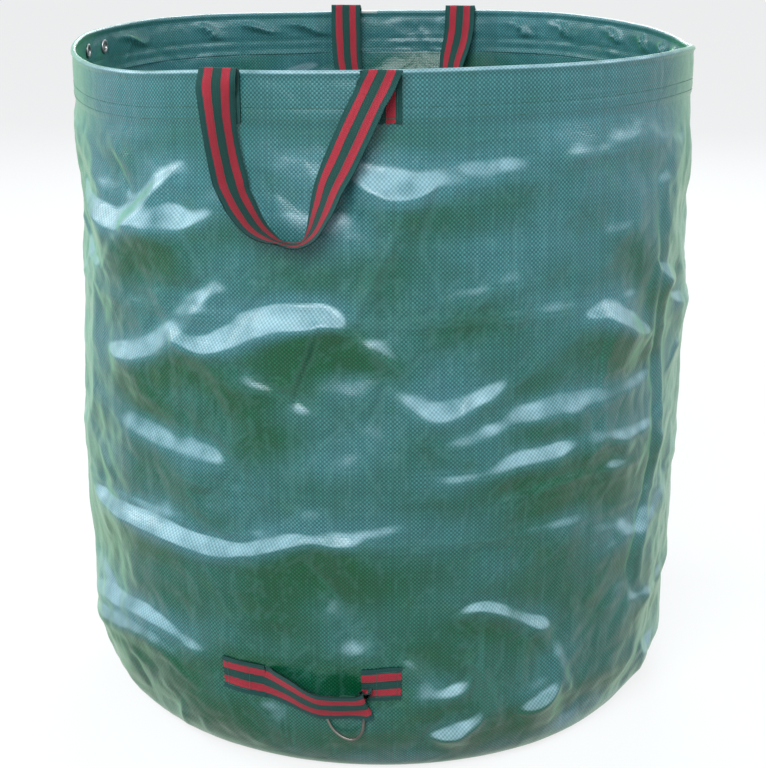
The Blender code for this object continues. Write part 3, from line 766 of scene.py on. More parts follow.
class BagCloth:
    """The bag's wall and hem, one sheet from the base seam to the hem's inner edge."""

    columns = 540

    def __init__(self, size: BagSize) -> None:
        """Lay out the sheet's path and the folds on it.

        Args:
            size: sizes of the bag's cloth.
        """
        self.size = size
        self._trace_path()
        self.relief = Relief(self.along_of_height)
        for fold in FRONT_FOLDS:
            self.relief.press(fold, strength=1.6)
        self.relief.crumple(seed=5)
        self.relief.settle(blur=0.0014, limit=0.028)
        # The two leans drive painted light: 'facing' a painted highlight where facets face up, 'broad'
        # the painted light and shade of the cloth's tone.
        self.charts = {"crease": self.relief.sharpness(),
                       "facing": self.relief.facing((1, 2, 4), 1.15),
                       "broad": self.relief.facing((1, 2, 4, 8, 12), 1.7)}
        self._place_columns()
        self._place_rows()
        self.points = self.shape(self.bearing[None, :], self.rows[:, None])
        self.normals = self._grid_normals(self.points)
        LOG.info("cloth: %d x %d points", *self.points.shape[:2])

    def wall_radius(self, height: Array) -> Array:
        """Outer radius of the wall above the foot: straight runs to the belly and the hem.

        Args:
            height: height over the floor.

        Returns:
            The radius, in metres.
        """
        size = self.size
        return np.interp(height, [size.foot_height, size.belly_height, size.hem_bottom],
                         [size.shoulder_radius, size.belly_radius, size.leaf_outer])

    def _trace_path(self) -> None:
        """Trace the sheet in section: round foot, wall, round the hoop and down inside.

        The corners where the leaves meet the sleeve are eased by a running mean over 3 mm.
        """
        size = self.size
        angle = np.linspace(0.0, np.pi / 2, 300)
        foot_r = size.foot_radius + (size.shoulder_radius - size.foot_radius) * np.sin(angle)
        foot_z = size.foot_height * (1 - np.cos(angle))
        turn = math.asin((size.leaf_outer - size.rim_radius) / size.sleeve_radius)
        join = size.hoop_height - size.sleeve_radius * math.cos(turn)
        wall_z = np.linspace(size.foot_height, join, 2400)[1:]
        sweep = np.linspace(turn, 2 * np.pi - turn, 90)[1:-1]
        sleeve_r = size.rim_radius + size.sleeve_radius * np.sin(sweep)
        sleeve_z = size.hoop_height - size.sleeve_radius * np.cos(sweep)
        leaf_z = np.linspace(join, size.hem_bottom - size.inner_overlap, 170)
        r = np.concatenate([foot_r, self.wall_radius(wall_z), sleeve_r,
                            np.full(leaf_z.shape, size.leaf_inner)])
        z = np.concatenate([foot_z, wall_z, sleeve_z, leaf_z])
        length = np.concatenate([[0.0], np.cumsum(np.hypot(np.diff(r), np.diff(z)))])
        foot_length = float(np.interp(size.foot_height, foot_z, length[:len(foot_z)]))
        even = np.arange(0.0, length[-1], 0.0003)
        r, z = np.interp(even, length, r), np.interp(even, length, z)
        window = np.ones(9) / 9
        ease = np.convolve(np.pad(r, 4, mode="edge"), window, "valid")
        rise = np.convolve(np.pad(z, 4, mode="edge"), window, "valid")
        top = even > foot_length + 0.55
        self.path_r, self.path_z = np.where(top, ease, r), np.where(top, rise, z)
        self.path_along = even + size.foot_height - foot_length
        tangent = unit(np.stack([np.gradient(self.path_r), np.gradient(self.path_z)], axis=1))
        self.path_normal = np.stack([tangent[:, 1], -tangent[:, 0]], axis=1)
        self.crown = float(self.path_along[np.argmax(self.path_z)])
        self.end = float(self.path_along[-1])

    def along_of_height(self, height: Array) -> Array:
        """Length up the cloth of a height on the outside, equal to the height above the foot."""
        outside = self.path_along <= self.crown
        return np.interp(height, self.path_z[outside], self.path_along[outside])

    def inner_along(self, height: float) -> float:
        """Length up the cloth of a height on the hem's inner leaf."""
        inside = self.path_along >= self.crown
        return float(np.interp(-height, -self.path_z[inside], self.path_along[inside]))

    def _place_columns(self) -> None:
        """Space the columns evenly on the front and the sides and wider at the back."""
        fine = np.linspace(-180.0, 180.0, 7201)
        density = 1.0 - 0.55 * smoothstep(np.abs(fine), 112.0, 124.0)
        total = np.concatenate([[0.0], np.cumsum((density[1:] + density[:-1]) / 2)])
        share = np.linspace(0.0, total[-1], self.columns + 1)
        self.bearing_closed = np.interp(share, total, fine)
        self.bearing = self.bearing_closed[:-1]

    def _place_rows(self) -> None:
        """Choose the rows of the four pieces, which share the rows where they meet."""
        size = self.size
        marks = [float(self.path_along[0]), size.standing_height, size.middle_height,
                 size.hem_bottom, self.end]
        counts = (58, 85, 88, 44)
        runs = [np.linspace(a, b, n + 1) for a, b, n in zip(marks, marks[1:], counts)]
        self.rows = np.concatenate([run[:-1] for run in runs[:-1]] + [runs[-1]])
        starts = np.cumsum((0, *counts))
        self.cuts = [slice(int(a), int(b) + 1) for a, b in zip(starts, starts[1:])]

    def lift(self, bearing: Array) -> Array:
        """How much higher or lower the hoop runs than its level circle.

        Args:
            bearing: bearings in degrees.

        Returns:
            The rise, in metres.
        """
        line = np.array(RIM_LIFT)
        fine = np.linspace(-180.0, 180.0, 721)
        wave = np.interp(fine, line[:, 0], line[:, 1])
        window = np.hanning(27) / np.hanning(27).sum()
        wave = np.convolve(np.pad(wave, 13, mode="wrap"), window, "valid")
        return np.interp((bearing + 180.0) % 360.0 - 180.0, fine, wave)

    def _hem_relief(self, bearing: Array, along: Array) -> Array:
        """Puckers of the hem between its hoop and its rows of thread.

        The outer leaf swells a little between the rows. The inner leaf, which is longer than the
        circle it is sewn to, stands off in upright pleats that lean to either side.

        Args:
            bearing: bearings in degrees.
            along: lengths up the cloth.

        Returns:
            How far the cloth stands out, in metres.
        """
        size = self.size
        height = np.interp(along, self.path_along, self.path_z)
        inner = smoothstep(along, self.crown, self.crown + 0.006)
        outer = smoothstep(along, size.hem_bottom - 0.004, size.hem_bottom + 0.004) * (1 - inner)
        pinch = sum(np.exp(-(((height - row) / 0.0022) ** 2)) for row in STITCH_HEIGHTS)
        free = smoothstep(0.752 - height, 0.0, 0.010) * (1 - 0.85 * np.clip(pinch, 0, 1))
        lean = bearing + 130.0 * (height - 0.73) * periodic_noise(bearing, height * 0, 40, 0.1, 71)
        pleats = np.abs(periodic_noise(lean, height, 104, 0.040, 72))
        cross = periodic_noise(lean, height, 60, 0.018, 73)
        inside = 0.0006 + 0.0018 * (0.6 - pleats) + 0.0012 * cross
        for high_bearing, high, low_bearing, low in HEM_PLEATS:
            share = np.clip((high - height) / (high - low), 0.0, 1.0)
            middle = high_bearing + (low_bearing - high_bearing) * share
            away = np.radians((bearing - middle + 180.0) % 360.0 - 180.0) * size.leaf_inner
            crest = np.exp(-np.abs(away) / PLEAT_WIDTH) * np.sqrt(np.sin(np.pi * share))
            inside = inside + PLEAT_HEIGHT * crest
        outside = 0.0004 * periodic_noise(bearing, height, 120, 0.02, 74) + 0.0004
        step_in = 0.0012 * (1 - smoothstep(along, size.hem_bottom - 0.003, size.hem_bottom + 0.001))
        fades = smoothstep(along, size.hem_bottom - 0.030, size.hem_bottom - 0.004)
        return inner * free * inside + outer * free * outside - step_in * fades

    def shape(self, bearing: Array, along: Array, off: Array | float = 0.0) -> Array:
        """Points of the cloth's outside: the path in section, turned about the axis.

        The folds push it out along the path's normal, and the hoop's rise and fall is carried down
        the upper half of the wall.

        Args:
            bearing: bearings in degrees.
            along: lengths up the cloth.
            off: distance outside the cloth's surface.

        Returns:
            The points, in the shape that the inputs broadcast to.
        """
        bearing, along = np.broadcast_arrays(np.asarray(bearing, float), np.asarray(along, float))
        r, z, normal_r, normal_z = (np.interp(along, self.path_along, values) for values in
                                    (self.path_r, self.path_z, *self.path_normal.T))
        folded = np.minimum(along, self.size.relief_top)
        out = self.relief.sample(self.relief.depth, bearing, folded)
        out = out * (along < self.crown) + self._hem_relief(bearing, along) + off
        carried = smoothstep(z, 0.36, 0.70)
        return around(r + normal_r * out, bearing, z + normal_z * out + carried * self.lift(bearing))

    def normal_at(self, bearing: Array, along: Array) -> Array:
        """Outward normals of the cloth, from points a millimetre apart on it.

        Args:
            bearing: bearings in degrees.
            along: lengths up the cloth.

        Returns:
            The normals.
        """
        bearing, along = np.broadcast_arrays(np.asarray(bearing, float), np.asarray(along, float))
        aside, up = 0.16, 0.001
        across = self.shape(bearing + aside, along) - self.shape(bearing - aside, along)
        upward = self.shape(bearing, along + up) - self.shape(bearing, along - up)
        return unit(np.cross(across, upward))

    def _grid_normals(self, points: Array) -> Array:
        """Normals of the whole grid, from its neighbours round and up.

        Args:
            points: the grid's points, whose last column meets its first.

        Returns:
            The normals.
        """
        across = np.roll(points, -1, axis=1) - np.roll(points, 1, axis=1)
        upward = np.gradient(points, axis=0)
        return unit(np.cross(across, upward))

    def piece(self, name: str, cut: slice, mask: Array | None = None) -> Mesh:
        """Mesh of the rows in a cut, a closed sheet all round the bag.

        Args:
            name: the mesh's name.
            cut: which rows.
            mask: which cells have cloth, or None for all.

        Returns:
            The mesh.
        """
        size = self.size
        round_it = self.bearing_closed / 360.0 * size.tapes_round * TAPE
        along = np.minimum(self.rows[cut][:, None], size.relief_top)
        values = {key: self.relief.sample(chart, self.bearing[None, :], along)
                  for key, chart in self.charts.items()}
        # Painted highlight: a pale line along the crown of the hem over the hoop, added to the lean
        # that sets the painted highlight.
        rim_sheen = 0.48 * np.exp(-(((self.rows[cut][:, None] - self.crown + 0.0012) / 0.0042) ** 2))
        values["facing"] = np.clip(values["facing"] + rim_sheen, 0.0, 1.0)
        place = pairs(round_it, self.rows[cut])
        surface = Surface(self.points[cut], self.normals[cut], place, mask)
        return sheet_mesh(name, surface, size.thickness, True, values)

    def eyelet_cut(self, cut: slice, sites: Sequence[Point], radius: float) -> Array:
        """Which cells of a cut have cloth: all but those round an eyelet's barrel.

        Args:
            cut: which rows.
            sites: bearing and height of each eyelet.
            radius: radius of its hole.

        Returns:
            True for every cell that has cloth.
        """
        points = self.points[cut]
        middle = (points[:-1] + points[1:]) / 2
        middle = (middle + np.roll(middle, -1, axis=1)) / 2
        keep = np.ones(middle.shape[:2], dtype=bool)
        for bearing, height in sites:
            centre = around(self.size.rim_radius, bearing, height)
            keep &= np.linalg.norm(middle - centre, axis=-1) > radius
        return keep

    def build(self, material: Material, eyelets: Sequence[Point]) -> None:
        """Make the standing band, the two bands above it and the hem.

        Args:
            material: the cloth's material.
            eyelets: bearing and height of each eyelet.
        """
        size = self.size
        standing, lower_fold, upper_fold, hem = self.cuts
        wall = finish_object(self.piece("bag_wall_lower", standing), material, "root",
                             "wall_lower")
        bands = (("bag_wall_middle", lower_fold, size.middle_height - size.standing_height, None),
                 ("bag_wall_upper", upper_fold, size.hem_bottom - size.middle_height, "wall_upper"))
        for name, cut, height, node in bands:
            band = finish_object(self.piece(name, cut), material, "root", node)
            size.fold_down(band)
        mask = self.eyelet_cut(hem, eyelets, size.eyelet_hole)
        folded = finish_object(self.piece("bag_hem", hem, mask), material, "rim", "rim_hem")


# Node trees for the finishes


class Graph:
    """Adds nodes to one node tree and links them as it goes."""

    def __init__(self, tree: NodeTree) -> None:
        """Work on the given tree."""
        self.tree = tree

    def fill(self, made: Node, values: dict) -> None:
        """Set or link inputs of a node by name or number.

        Args:
            made: the node.
            values: a socket or a value for each input.
        """
        for key, value in values.items():
            if isinstance(value, Socket):
                self.tree.links.new(value, made.inputs[key])
            else:
                made.inputs[key].default_value = value

    def node(self, kind: str, inputs: dict | None = None, **settings: object) -> Node:
        """Add a node, set its options, then set or link its inputs.

        Args:
            kind: the node's type.
            inputs: a socket or a value for each input, by name or number.
            settings: the node's options.

        Returns:
            The node.
        """
        made = self.tree.nodes.new(kind)
        for key, value in settings.items():
            setattr(made, key, value)
        self.fill(made, inputs or {})
        return made

    def use(self, effect: Callable, place: Socket) -> bpy.types.bpy_prop_collection:
        """Add a shared effect that reads the given place, and return its outputs."""
        return self.node("ShaderNodeGroup", {"Place": place}, node_tree=shared_group(effect)).outputs

    def attribute(self, name: str) -> Socket:
        """A value that is stored on the mesh."""
        return self.node("ShaderNodeAttribute", attribute_name=name).outputs["Fac"]

    def math(self, operation: str, *values: object, clamp: bool = False) -> Socket:
        """One scalar operation on sockets or numbers.

        Args:
            operation: the operation's name.
            values: sockets or numbers.
            clamp: whether the result stays from 0 to 1.

        Returns:
            The result.
        """
        made = self.node("ShaderNodeMath", dict(enumerate(values)), operation=operation,
                         use_clamp=clamp)
        return made.outputs[0]

    def times(self, first: object, *others: object) -> Socket:
        """The product of sockets or numbers.

        Args:
            first: a socket or a number.
            others: what it is multiplied by.

        Returns:
            The product.
        """
        for other in others:
            first = self.math("MULTIPLY", first, other)
        return first

    def scaled(self, value: object, factor: float, offset: float) -> Socket:
        """A value times a factor, plus an offset."""
        return self.math("MULTIPLY_ADD", value, factor, offset)

    def rest(self, value: object) -> Socket:
        """1 less the value."""
        return self.math("SUBTRACT", 1.0, value)

    def shaded(self, colour: object, shade: object) -> Socket:
        """A colour made darker or lighter."""
        made = self.node("ShaderNodeVectorMath", {0: colour, "Scale": shade}, operation="SCALE")
        return made.outputs[0]

    def mix(self, factor: object, first: object, second: object) -> Socket:
        """Mix two colours."""
        return self.node("ShaderNodeMix", {0: factor, 6: first, 7: second}, data_type="RGBA").outputs[2]

    def ease(self, value: object, low: float, high: float) -> Socket:
        """Map a value from low to high onto 0 to 1, with eased ends.

        Args:
            value: the value to map.
            low, high: what becomes 0 and 1.

        Returns:
            The eased value.
        """
        made = self.node("ShaderNodeMapRange", {0: value, 1: low, 2: high},
                         interpolation_type="SMOOTHSTEP")
        return made.outputs[0]

    def noise(self, place: object, scale: float, detail: float = 2.0) -> Socket:
        """Fractal noise around 0.5."""
        made = self.node("ShaderNodeTexNoise", {"Vector": place, "Scale": scale, "Detail": detail})
        return made.outputs["Fac"]


def shared_group(effect: Callable[[Graph, Socket], dict[str, Socket]]) -> NodeTree:
    """The node group of an effect that several finishes share, made once.

    Args:
        effect: the function that adds the group's nodes, which read the place that it is given, and
            returns the socket of each value that the group puts out.

    Returns:
        The group's node tree.
    """
    name = effect.__name__.replace("_", " ").capitalize()
    if name in bpy.data.node_groups:
        return bpy.data.node_groups[name]
    tree = bpy.data.node_groups.new(name, "ShaderNodeTree")
    tree.interface.new_socket("Place", in_out="INPUT", socket_type="NodeSocketVector")
    graph = Graph(tree)
    values = effect(graph, graph.node("NodeGroupInput").outputs["Place"])
    for label in values:
        tree.interface.new_socket(label, in_out="OUTPUT", socket_type="NodeSocketFloat")
    graph.node("NodeGroupOutput", values)
    return tree


def plain_weave(graph: Graph, place: Socket) -> dict[str, Socket]:
    """Flat tapes woven over one and under one.

    Place is in metres on the cloth. Height is 1 on the crown of each visible tape and falls to its
    edges and to where it dives under. Upright is 1 where the upright tape is on top, Gap is 1 between
    tapes, and Tint is a random value for each tape.

    Args:
        graph: the graph to build in.
        place: the place on the surface.

    Returns:
        Its outputs by name.
    """
    parts = graph.node("ShaderNodeSeparateXYZ", {0: place})
    counts = [graph.math("DIVIDE", parts.outputs[axis], TAPE) for axis in (0, 1)]
    cells = [graph.math("FLOOR", count) for count in counts]
    offs = [graph.scaled(graph.math("FRACT", count), 2.0, -1.0) for count in counts]
    upright = graph.math("FLOORED_MODULO", graph.math("ADD", *cells), 2.0)
    level = graph.rest(upright)

    def on_top(of_upright: Socket, of_level: Socket) -> Socket:
        """One value where the upright tape is on top, and the other where the level one is."""
        return graph.math("ADD", graph.times(upright, of_upright), graph.times(level, of_level))

    edge = graph.math("POWER", graph.math("ABSOLUTE", on_top(offs[0], offs[1])), 4.0)
    dive = graph.math("POWER", graph.math("ABSOLUTE", on_top(offs[1], offs[0])), 2.0)
    height = graph.times(graph.rest(graph.times(edge, 0.5)), graph.rest(graph.times(dive, 0.75)))
    tape = on_top(cells[0], graph.math("ADD", cells[1], 5000.0))
    tint = graph.node("ShaderNodeTexWhiteNoise", {"W": tape}, noise_dimensions="1D")
    return {"Height": height, "Upright": upright, "Gap": graph.ease(edge, 0.25, 0.9),
            "Tint": tint.outputs["Value"]}


def crushing(graph: Graph, place: Socket) -> dict[str, Socket]:
    """Small straight creases left by packing: polygon edges at two sizes, bent by noise.

    Place is in metres. Height is low along the creases.

    Args:
        graph: the graph to build in.
        place: the place on the surface.

    Returns:
        Its outputs by name.
    """
    drift = graph.node("ShaderNodeTexNoise", {"Vector": place, "Scale": 14.0, "Detail": 1.0})
    moved = graph.node("ShaderNodeVectorMath", {0: drift.outputs["Color"], 1: (0.05, 0.05, 0.05)},
                       operation="MULTIPLY")
    bent = graph.node("ShaderNodeVectorMath", {0: place, 1: moved.outputs[0]}, operation="ADD")
    gaps = [graph.node("ShaderNodeTexVoronoi", {"Vector": bent.outputs[0], "Scale": scale},
                       feature="DISTANCE_TO_EDGE").outputs["Distance"] for scale in (17.0, 46.0)]
    wide, fine = graph.ease(gaps[0], 0.0, 0.16), graph.ease(gaps[1], 0.0, 0.16)
    return {"Height": graph.math("ADD", graph.times(wide, 0.75), graph.times(fine, 0.25))}


def weathering(graph: Graph, place: Socket) -> dict[str, Socket]:
    """Slow and fine variation of a surface, from noise at three sizes, each around 0.5."""
    return {"Broad": graph.noise(place, 5.0), "Middle": graph.noise(place, 28.0, 3.0),
            "Fine": graph.noise(place, 420.0, 1.0)}


def webbing_ribs(graph: Graph, place: Socket) -> dict[str, Socket]:
    """Ribs of woven webbing: yarns along the strap, crossed by a rib each 2.1 mm.

    Place is in metres, across the strap in X and along it in Y. Height is 1 on the crown of a yarn,
    Gap is 1 between yarns, and Tint is a random value for each yarn.

    Args:
        graph: the graph to build in.
        place: the place on the surface.

    Returns:
        Its outputs by name.
    """
    parts = graph.node("ShaderNodeSeparateXYZ", {0: place})
    yarn = graph.math("DIVIDE", parts.outputs[0], YARN)
    rib = graph.math("ADD", graph.math("DIVIDE", parts.outputs[1], RIB),
                     graph.times(graph.math("FLOOR", yarn), 0.5))
    waves = [graph.math("ABSOLUTE", graph.math("SINE", graph.times(value, math.pi)))
             for value in (yarn, rib)]
    height = graph.times(graph.math("POWER", waves[0], 0.6), graph.math("POWER", waves[1], 0.5))
    tint = graph.node("ShaderNodeTexWhiteNoise", {"W": graph.math("FLOOR", yarn)},
                      noise_dimensions="1D")
    return {"Height": height, "Gap": graph.rest(graph.ease(height, 0.0, 0.5)),
            "Tint": tint.outputs["Value"]}


# Finishes

Colour = tuple[float, float, float, float]


def new_material(name: str) -> tuple[Material, Graph, Node]:
    """An empty material with its graph and its surface shader.

    Args:
        name: its name.

    Returns:
        The material, its graph and its shader.
    """
    material = bpy.data.materials.new(name)
    material.use_nodes = True
    material.node_tree.nodes.clear()
    graph = Graph(material.node_tree)
    shader = graph.node("ShaderNodeBsdfPrincipled")
    graph.node("ShaderNodeOutputMaterial", {0: shader.outputs[0]})
    return material, graph, shader


def bump(graph: Graph, steps: Sequence[tuple[Socket, float]]) -> Socket:
    """Chain bumps, each a height from 0 to 1 and its depth in metres.

    Args:
        graph: the material's graph.
        steps: height and depth of each bump.

    Returns:
        The bumped normal.
    """
    normal = None
    for height, depth in steps:
        inputs = {"Height": height, "Distance": depth, "Strength": 1.0}
        if normal is not None:
            inputs["Normal"] = normal
        normal = graph.node("ShaderNodeBump", inputs).outputs[0]
    return normal


@dataclass(frozen=True)
class ClothFinish:
    """Laminated woven cloth: green tapes under a clear film that has been creased."""

    name: str
    # The deep green and the cool teal are also the shaded and the lit ends of the cloth's painted light
    # and shade.
    deep: Colour = (0.002, 0.074, 0.028, 1.0)
    cool: Colour = (0.047, 0.164, 0.178, 1.0)
    olive: Colour = (0.030, 0.120, 0.020, 1.0)
    worn: Colour = (0.180, 0.400, 0.380, 1.0)
    # Pale blue of the painted highlight on facets that face up.
    dust: Colour = (0.420, 0.620, 0.690, 1.0)
    # Lighter green of the painted sheen at grazing angles.
    haze: Colour = (0.100, 0.420, 0.160, 1.0)
    roughness: float = 0.31
    specular: float = 0.24
    film: float = 0.18
    film_roughness: float = 0.18

    def material(self) -> Material:
        """Colour by tape, by crease and by slow drift, with painted light and shade and a painted
        highlight and sheen, over bumps for weave and crushing.

        Returns:
            The material.
        """
        material, graph, shader = new_material(self.name)
        cloth = graph.node("ShaderNodeUVMap", uv_map="cloth").outputs[0]
        place = graph.node("ShaderNodeTexCoord").outputs["Object"]
        weave, crushed = graph.use(plain_weave, cloth), graph.use(crushing, place)
        drift = graph.use(weathering, place)
        # Painted light and shade: cool teal at the top of the bag and on facets that lean up, deep
        # green low down and on facets that lean down, with random drift between them.
        up = graph.node("ShaderNodeSeparateXYZ", {0: place}).outputs[2]
        lit_and_shaded_tone = graph.math("ADD", graph.scaled(up, 0.46, -0.145),
                           graph.scaled(drift["Broad"], 0.5, -0.25))
        lit_and_shaded_tone = graph.ease(graph.math("ADD", graph.attribute("broad"), lit_and_shaded_tone), 0.20, 0.84)
        colour = graph.mix(lit_and_shaded_tone, self.deep, self.cool)
        stained = graph.times(graph.ease(drift["Middle"], 0.56, 0.76), 0.15)
        colour = graph.mix(stained, colour, self.olive)
        shade = graph.times(graph.scaled(weave["Upright"], 0.74, 0.63),
                            graph.scaled(weave["Tint"], 0.24, 0.88),
                            graph.scaled(weave["Gap"], -0.60, 1.04))
        wear = graph.times(graph.ease(graph.attribute("crease"), 0.30, 1.0), 0.07)
        colour = graph.mix(wear, graph.shaded(colour, shade), self.worn)
        # Painted highlight: facets that lean up turn pale blue, broken up by the weave and by noise.
        sheen_share = graph.times(graph.ease(graph.attribute("facing"), 0.60, 0.84),
                            graph.times(graph.scaled(weave["Upright"], 0.35, 0.65),
                                        graph.scaled(drift["Middle"], 1.5, -0.30)))
        colour = graph.mix(sheen_share, colour, self.dust)
        # Painted sheen: a lighter green where the cloth is seen at a grazing angle.
        turned = graph.node("ShaderNodeLayerWeight", {"Blend": 0.5}).outputs["Facing"]
        colour = graph.mix(graph.times(graph.ease(turned, 0.55, 0.92), 0.55), colour, self.haze)
        rough = graph.scaled(drift["Middle"], 0.12, self.roughness - 0.06)
        creased = (crushed["Height"], 0.0005)
        graph.fill(shader, {"Base Color": colour, "Roughness": rough,
                            "Specular IOR Level": self.specular,
                            "Normal": bump(graph, [creased, (weave["Height"], 0.00015)]),
                            "Coat Weight": self.film, "Coat Roughness": self.film_roughness,
                            "Coat Normal": bump(graph, [creased, (weave["Height"], 0.00005)])})
        return material


@dataclass(frozen=True)
class WebbingFinish:
    """Woven webbing with stripes along it, given as the share of the width where each ends."""

    name: str
    width: float
    stripes: tuple[tuple[float, Colour], ...]
    roughness: float = 0.72
    specular: float = 0.14
    sheen: float = 0.06

    def material(self) -> Material:
        """Stripes from a stepped ramp across, with ribs, a fibre sheen and a little grime.

        Returns:
            The material.
        """
        material, graph, shader = new_material(self.name)
        cloth = graph.node("ShaderNodeUVMap", uv_map="cloth").outputs[0]
        place = graph.node("ShaderNodeTexCoord").outputs["Object"]
        ribs, drift = graph.use(webbing_ribs, cloth), graph.use(weathering, place)
        across = graph.node("ShaderNodeSeparateXYZ", {0: cloth}).outputs[0]
        wander = graph.scaled(drift["Middle"], 0.0012, -0.0006)
        share = graph.math("DIVIDE", graph.math("ADD", across, wander), self.width)
        ramp = graph.node("ShaderNodeValToRGB", {0: share})
        ramp.color_ramp.interpolation = "CONSTANT"
        stops = ramp.color_ramp.elements
        stops[0].color, stops[0].position = self.stripes[0][1], 0.0
        stops.remove(stops[1])
        for (start, _), (_, colour) in zip(self.stripes, self.stripes[1:]):
            stops.new(start).color = colour
        shade = graph.times(graph.scaled(ribs["Tint"], 0.25, 0.85),
                            graph.scaled(ribs["Gap"], -0.62, 1.05),
                            graph.scaled(drift["Broad"], 0.5, 0.75))
        graph.fill(shader, {"Base Color": graph.shaded(ramp.outputs[0], shade),
                            "Roughness": self.roughness, "Specular IOR Level": self.specular,
                            "Normal": bump(graph, [(ribs["Height"], 0.00045)]),
                            "Sheen Weight": self.sheen, "Sheen Roughness": 0.5})
        return material


@dataclass(frozen=True)
class PlainFinish:
    """One colour with a worn drift in it: metal, paint, tape or thread."""

    name: str
    colour: Colour
    dark: Colour
    roughness: float
    metallic: float = 0.0
    grain: float = 0.00003

    def material(self) -> Material:
        """Colour and roughness that drift between clean and worn, over a fine grain.

        Returns:
            The material.
        """
        material, graph, shader = new_material(self.name)
        place = graph.node("ShaderNodeTexCoord").outputs["Object"]
        drift = graph.use(weathering, place)
        worn = graph.ease(drift["Middle"], 0.48, 0.66)
        colour = graph.mix(worn, self.colour, self.dark)
        rough = graph.math("MULTIPLY_ADD", drift["Middle"], 0.25, self.roughness - 0.12,
                           clamp=True)
        normal = bump(graph, [(drift["Fine"], self.grain)])
        graph.fill(shader, {"Base Color": colour, "Roughness": rough, "Normal": normal,
                            "Metallic": self.metallic})
        return material


EDGE_GREEN: Colour = (0.014, 0.070, 0.062, 1.0)
MIDDLE_GREEN: Colour = (0.015, 0.062, 0.052, 1.0)
RED: Colour = (0.400, 0.030, 0.046, 1.0)
STRIPES = ((0.15, EDGE_GREEN), (0.37, RED), (0.62, MIDDLE_GREEN), (0.84, RED), (1.00, EDGE_GREEN))


@dataclass(frozen=True)
class Finishes:
    """The finished materials of the bag."""

    cloth: Material
    webbing: Material
    tape: Material
    thread: Material
    coating: Material
    steel: Material
    eyelet: Material
    ring: Material

    @classmethod
    def make(cls) -> "Finishes":
        """Make every material once.

        Returns:
            The materials.
        """
        return cls(
            cloth=ClothFinish("Laminated cloth").material(),
            webbing=WebbingFinish("Striped webbing", STRAP, STRIPES).material(),
            tape=PlainFinish("Binding tape", (0.020, 0.120, 0.075, 1.0), (0.012, 0.070, 0.045, 1.0),
                             0.75, grain=0.0002).material(),
            thread=PlainFinish("Thread", (0.020, 0.095, 0.070, 1.0), (0.010, 0.050, 0.036, 1.0),
                               0.65, grain=0.0001).material(),
            coating=PlainFinish("Hoop coating", (0.030, 0.120, 0.070, 1.0),
                                (0.020, 0.070, 0.040, 1.0), 0.40).material(),
            steel=PlainFinish("Ferrule steel", (0.55, 0.55, 0.53, 1.0), (0.35, 0.34, 0.32, 1.0),
                              0.40, 1.0).material(),
            eyelet=PlainFinish("Eyelet metal", (0.36, 0.37, 0.37, 1.0), (0.22, 0.22, 0.21, 1.0),
                               0.34, 0.9).material(),
            ring=PlainFinish("Ring wire", (0.17, 0.16, 0.14, 1.0), (0.08, 0.07, 0.06, 1.0),
                             0.36, 0.80).material(),
        )


# Pieces of the bag


def stitch_shape(length: float, width: float, height: float) -> tuple[Array, Array]:
    """One stitch: five-sided rings that swell in the middle and dive at both ends.

    Args:
        length, width, height: sizes of the stitch.

    Returns:
        Its points and its triangles.
    """
    sides = 5
    places = np.array([-0.5, -0.36, 0.0, 0.36, 0.5])
    swell = np.array([0.35, 0.85, 1.0, 0.85, 0.35])
    rise = np.array([-0.9, 0.1, 0.4, 0.1, -0.9])
    angle = 2 * np.pi * np.arange(sides) / sides
    x = np.repeat(places * length, sides)
    y = (swell[:, None] * np.cos(angle) * width / 2).ravel()
    z = (swell[:, None] * np.sin(angle) * height / 2 + rise[:, None] * height / 2).ravel()
    body = ring_faces(len(places), sides, False)
    fan = np.array([[0, 1, 2], [0, 2, 3], [0, 3, 4]])
    last = (len(places) - 1) * sides
    triangles = np.concatenate([body[:, [0, 1, 2]], body[:, [0, 2, 3]], fan[:, ::-1], last + fan])
    return np.stack([x, y, z], axis=1), triangles


@dataclass(frozen=True)
class HemStitching:
    """Rows of stitches round the hem, on the outer and the inner leaf."""

    pitch: float = 0.0036
    length: float = 0.0029
    width: float = 0.0007
    rise: float = 0.0005

    def build(self, cloth: BagCloth, finish: Material) -> None:
        """One object for each row, with its outer and its inner stitches.

        Args:
            cloth: the bag's cloth.
            finish: the material.
        """
        count = round(cloth.size.girth / self.pitch)
        shape, faces = stitch_shape(self.length, self.width, self.rise)
        bearing = 360.0 * (np.arange(count) + 0.5) / count - 180.0
        for number, (height, node) in enumerate(zip(STITCH_HEIGHTS, ("upper", "lower"))):
            sites = [(bearing, float(cloth.along_of_height(np.array(height)))),
                     (bearing + 90.0 / count, cloth.inner_along(height))]
            centres = np.concatenate([cloth.shape(b, a, 0.00005) for b, a in sites])
            normals = np.concatenate([cloth.normal_at(b, a) for b, a in sites])
            level = np.cross(normals, UP)
            slant = np.random.default_rng(number).normal(0.0, 0.05, (len(level), 1))
            along = unit(level + slant * UP)
            axes = np.stack([along, np.cross(normals, along), normals], axis=1)
            mesh = scattered_mesh("hem_stitches_" + node, centres, axes, shape, faces)
            finish_object(mesh, finish, "rim", "hem_thread_" + node)


